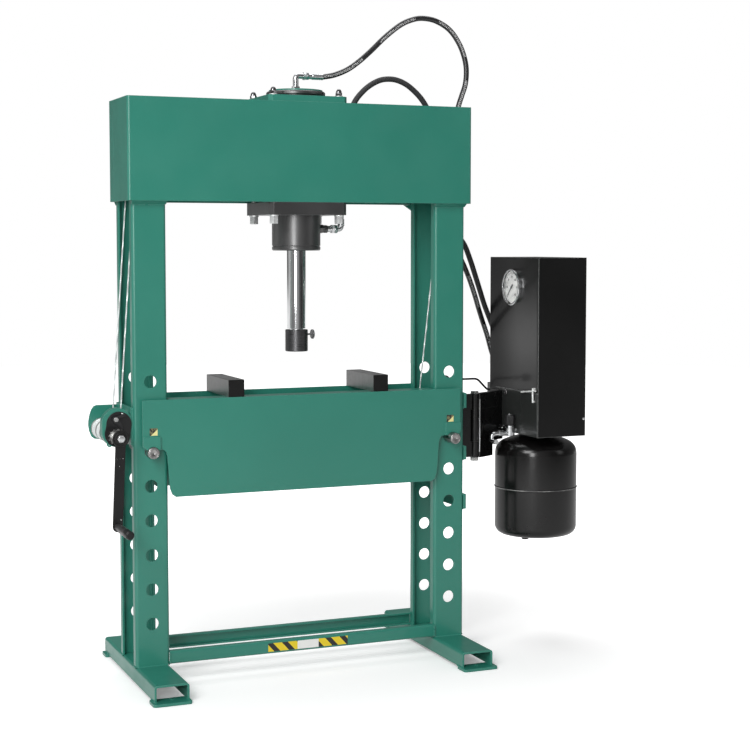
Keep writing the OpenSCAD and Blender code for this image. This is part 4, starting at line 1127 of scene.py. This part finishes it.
profile += [(0.0408, 0.6522), (0.080, 0.6446), (0.096, 0.6387), (0.109, 0.632), (0.1185, 0.623),
            (0.1245, 0.613), (tank_radius - wall, 0.602), (tank_radius - wall, 0.368), (0.122, 0.354),
            (0.114, 0.346), (0.100, tank_foot + wall), (0, tank_foot + wall)]
tank = Stock()
tank.turn(profile, (tank_x, 0, 0), UP, 128)
tank.turn([(0, 0), (0.009, 0), (0.011, 0.001), (0.011, 0.009), (0, 0.009)],
          (tank_x - 0.066, -0.056, tank_foot - 0.007), UP, 32)
tank.make("oil_tank", tank_black, "unit", "gloss_black", ("tank",), crease=30)
# The seam's light colour is a painted highlight.
seam_highlight = Finish("seam_highlight", {"Metallic": 0.5})
seam_highlight.feed({
    "Base Color": seam_highlight.mix(seam_highlight.ramp(seam_highlight.noise(16), 0.4, 0.6), (0.10, 0.10, 0.10),
                                 (0.42, 0.42, 0.41)),
    "Roughness": seam_highlight.vary(0.25, 0.40, 90),
})
crest = [(-0.0005, 0.0015), (0.0014, 0.0013), (0.0020, 0.0007)]
band = [(tank_radius + out, seam_z - off) for out, off in crest]
band += [(tank_radius + out, seam_z + off) for out, off in reversed(crest)]
Stock().turn(band, (tank_x, 0, 0), UP, 128, True).make(
    "tank_seam", seam_highlight, "unit", "zinc_steel", crease=40)

motor_paint = enamel("motor_paint", (0.014, 0.014, 0.0145), (0.10, 0.10, 0.10), 0.40, 0.1, 0.0002, 0.3)
dress(["motor_pump"], motor_paint)

# ---------- Valve fittings ----------
# Plated elbows and unions at the foot of the box's left side, with a black relief knob on top.
# Behind the box the directional valve is black, and its lever is a bent rod with a ball.
knob_x, knob_y, body_top = 0.720, -0.018, 0.694
union_z, pipe_z, pipe_x = 0.679, 0.668, 0.655
unions = Stock()
unions.turn([(0, -0.034), (0.0135, -0.034), (0.015, -0.0325), (0.015, -0.0015), (0.0135, 0), (0, 0)],
            (knob_x, knob_y, body_top), UP, 40)
unions.bar((knob_x, knob_y, body_top), UP, 0.006, 0.0078)
unions.bar((knob_x - 0.015, knob_y, union_z - 0.002), RIGHT, 0.009, 0.0316)
hexagon(unions, (knob_x, 0.0365, union_z), FRONT, 0.020, 0.018, 0.1)
hexagon(unions, (knob_x, 0.0175, union_z), FRONT, 0.0195, 0.020, 0.4)
unions.turn([(0, 0), (0.007, 0), (0.007, 0.014), (0.006, 0.0155), (0, 0.0155)],
            (knob_x, 0.036, union_z), BACK, 24)
pipe = [(0.7215, knob_y, pipe_z), (0.700, knob_y, pipe_z), (0.672, knob_y, pipe_z),
        (0.662, knob_y, 0.6665), (0.656, knob_y, 0.661), (pipe_x, knob_y, 0.653),
        (pipe_x, -0.020, 0.648), (pipe_x, -0.026, 0.6465), (pipe_x, -0.034, 0.646),
        (pipe_x, -0.0515, 0.646)]
unions.sweep(spline(pipe, 4), circle(0.0079, 24))
hexagon(unions, (0.690, knob_y, pipe_z), LEFT, 0.0185, 0.012, 0.3)
unions.make("valve_unions", fitting, "unit", "chrome", ("valve_block",), crease=30)
knob = Stock()
grooved(knob, (knob_x, knob_y, body_top + 0.0002), UP, RIGHT,
        ((0.0002, 0.0135, False), (0.003, 0.016, True), (0.030, 0.016, True), (0.0335, 0.0138, False),
         (0.0342, 0.0115, False)), 20, 3, 0, 0.0009)
knob.make("relief_knob_ribbed", grip_black, "knob", "black_plastic", ("relief_knob",), crease=25)
knob_cap = Stock().turn([(0, 0), (0.0098, 0), (0.0103, 0.0003), (0.0098, 0.0008), (0, 0.0009)],
                        (knob_x, knob_y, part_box("relief_knob")[1].z), UP, 32)
knob_cap.make("relief_knob_cap", chrome, "knob", "chrome")
dress(["directional_valve"], satin_black)
lever_y, lever_z, ball_radius = 0.190, 0.8263, 0.0150
lever_line = [(0.768, 0.789), (0.752, 0.789), (0.744, 0.7900), (0.737, 0.7945), (0.716, 0.8155),
              (0.708, 0.8225), (0.700, 0.8255), (0.692, lever_z), (0.660, lever_z), (0.604, lever_z)]
lever = Stock()
lever.sweep(spline([(x, lever_y, z) for x, z in lever_line], 6), circle(0.0034, 20))
ball = [(ball_radius * math.sin(a), -ball_radius * math.cos(a))
        for a in [math.pi * k / 20 for k in range(1, 20)]]
lever.turn([(0, -ball_radius), *ball, (0, ball_radius)], (0.590, lever_y, lever_z), UP, 40)
lever.make("valve_lever_bent", grip_black, "lever", "black_plastic", ("valve_lever",), crease=40)

# ---------- Floor and light ----------
# A pale plain floor, and the soft light of a studio: a large lamp high on the left, a tall strip
# beside it, a weak fill on the right and a wide lamp overhead. The metal shows grey cards round
# the room and a white backdrop.
floor_paint = Finish("floor", {"Roughness": 0.7, "Emission Strength": 1.0})
is_camera, is_mirrored = floor_paint.rays("Camera"), floor_paint.rays("Glossy")
from_press = floor_paint.add("ShaderNodeVectorMath", {"operation": "LENGTH"},
                             {0: floor_paint.place() - (0.15, 0, 0)}, "Value")
glow = floor_paint.ramp(from_press, 0.7, 2.0)
floor_paint.feed({
    "Base Color": floor_paint.mix(is_camera + is_mirrored, (0.50, 0.50, 0.50), floor_paint.mix(
        floor_paint.noise(1.5), (0.92, 0.92, 0.92), (0.94, 0.94, 0.94))),
    "Emission Color": floor_paint.mix(is_camera, (0, 0, 0), floor_paint.mix(
        glow, (0.25, 0.25, 0.25), (0.95, 0.95, 0.95))),
})
ground = Stock()
ground.bar((0, 0, -0.02), UP, 12, 0.0198, 96)
floor = ground.make("floor", floor_paint, None, "green_paint")
del floor["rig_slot"]


class Sky(Finish):
    """The room, seen as light by the surfaces: wires for the world's node tree."""

    def __init__(self, world):
        world.use_nodes = True
        self.tree = world.node_tree
        self.shader = self.tree.nodes["Background"]


world = bpy.data.worlds.new("studio")
bpy.context.scene.world = world
sky = Sky(world)
direction = sky.add("ShaderNodeTexCoord", {}, {}, "Generated")
sideways, behind, height = [sky.part(direction, letter) for letter in "XYZ"]
seen, through, mirrored = [sky.rays(kind) for kind in ("Camera", "Transmission", "Glossy")]
# How bright the room's cards are at each bearing, in degrees round from straight in front.
bearing = sky.add("ShaderNodeMath", {"operation": "ARCTAN2"}, {0: sideways, 1: 0 - behind})
cards = ((-180, 0.16), (-162, 0.12), (-143, 0.12), (-122, 0.55), (-98, 0.60), (-80, 0.28),
         (-64, 0.20), (-45, 0.25), (-30, 0.60), (-12, 0.40), (2, 0.30), (20, 0.10), (44, 0.03),
         (62, 0.06), (87, 0.16), (125, 0.12), (157, 0.15), (180, 0.14))
walls = sky.add("ShaderNodeValToRGB",
                {"stops": [(angle / 360 + 0.5, (value, value, value)) for angle, value in cards]},
                {0: bearing / math.tau + 0.5})
backdrop = sky.ramp(height, -0.018, -0.048) * sky.ramp(behind, 0.1, 0.5)
room = sky.mix(backdrop, walls, (0.95, 0.95, 0.95))
room = sky.mix(sky.ramp(height, 0.35, 0.9), room, (0.35, 0.35, 0.36))
sky.feed({
    "Color": sky.mix(seen + through, sky.mix(mirrored, (0.37, 0.37, 0.37), room), (1, 1, 1)),
    "Strength": 1.0,
})


def softbox(name, at, towards, width, height, power):
    lamp = bpy.data.lights.new(name, "AREA")
    lamp.shape = "RECTANGLE"
    lamp.size, lamp.size_y, lamp.energy = width, height, power
    box = bpy.data.objects.new(name, lamp)
    box.location = at
    box.rotation_euler = (Vector(towards) - Vector(at)).to_track_quat("-Z", "Y").to_euler()
    bpy.context.scene.collection.objects.link(box)


softbox("key_light", (-4.0, -3.6, 4.4), (-0.2, 0, 1.1), 2.6, 3.2, 232)
softbox("strip_light", (-2.75, -4.65, 1.85), (0, 0, 1.3), 1.1, 2.0, 92)
softbox("fill_light", (4.6, -3.6, 2.6), (0.3, 0, 0.9), 1.6, 2.6, 15)
softbox("top_light", (0.5, 1.5, 5.5), (0, 0, 0.6), 4.0, 3.0, 110)

bpy.context.scene.view_settings.view_transform = "Standard"

bpy.context.view_layer.update()
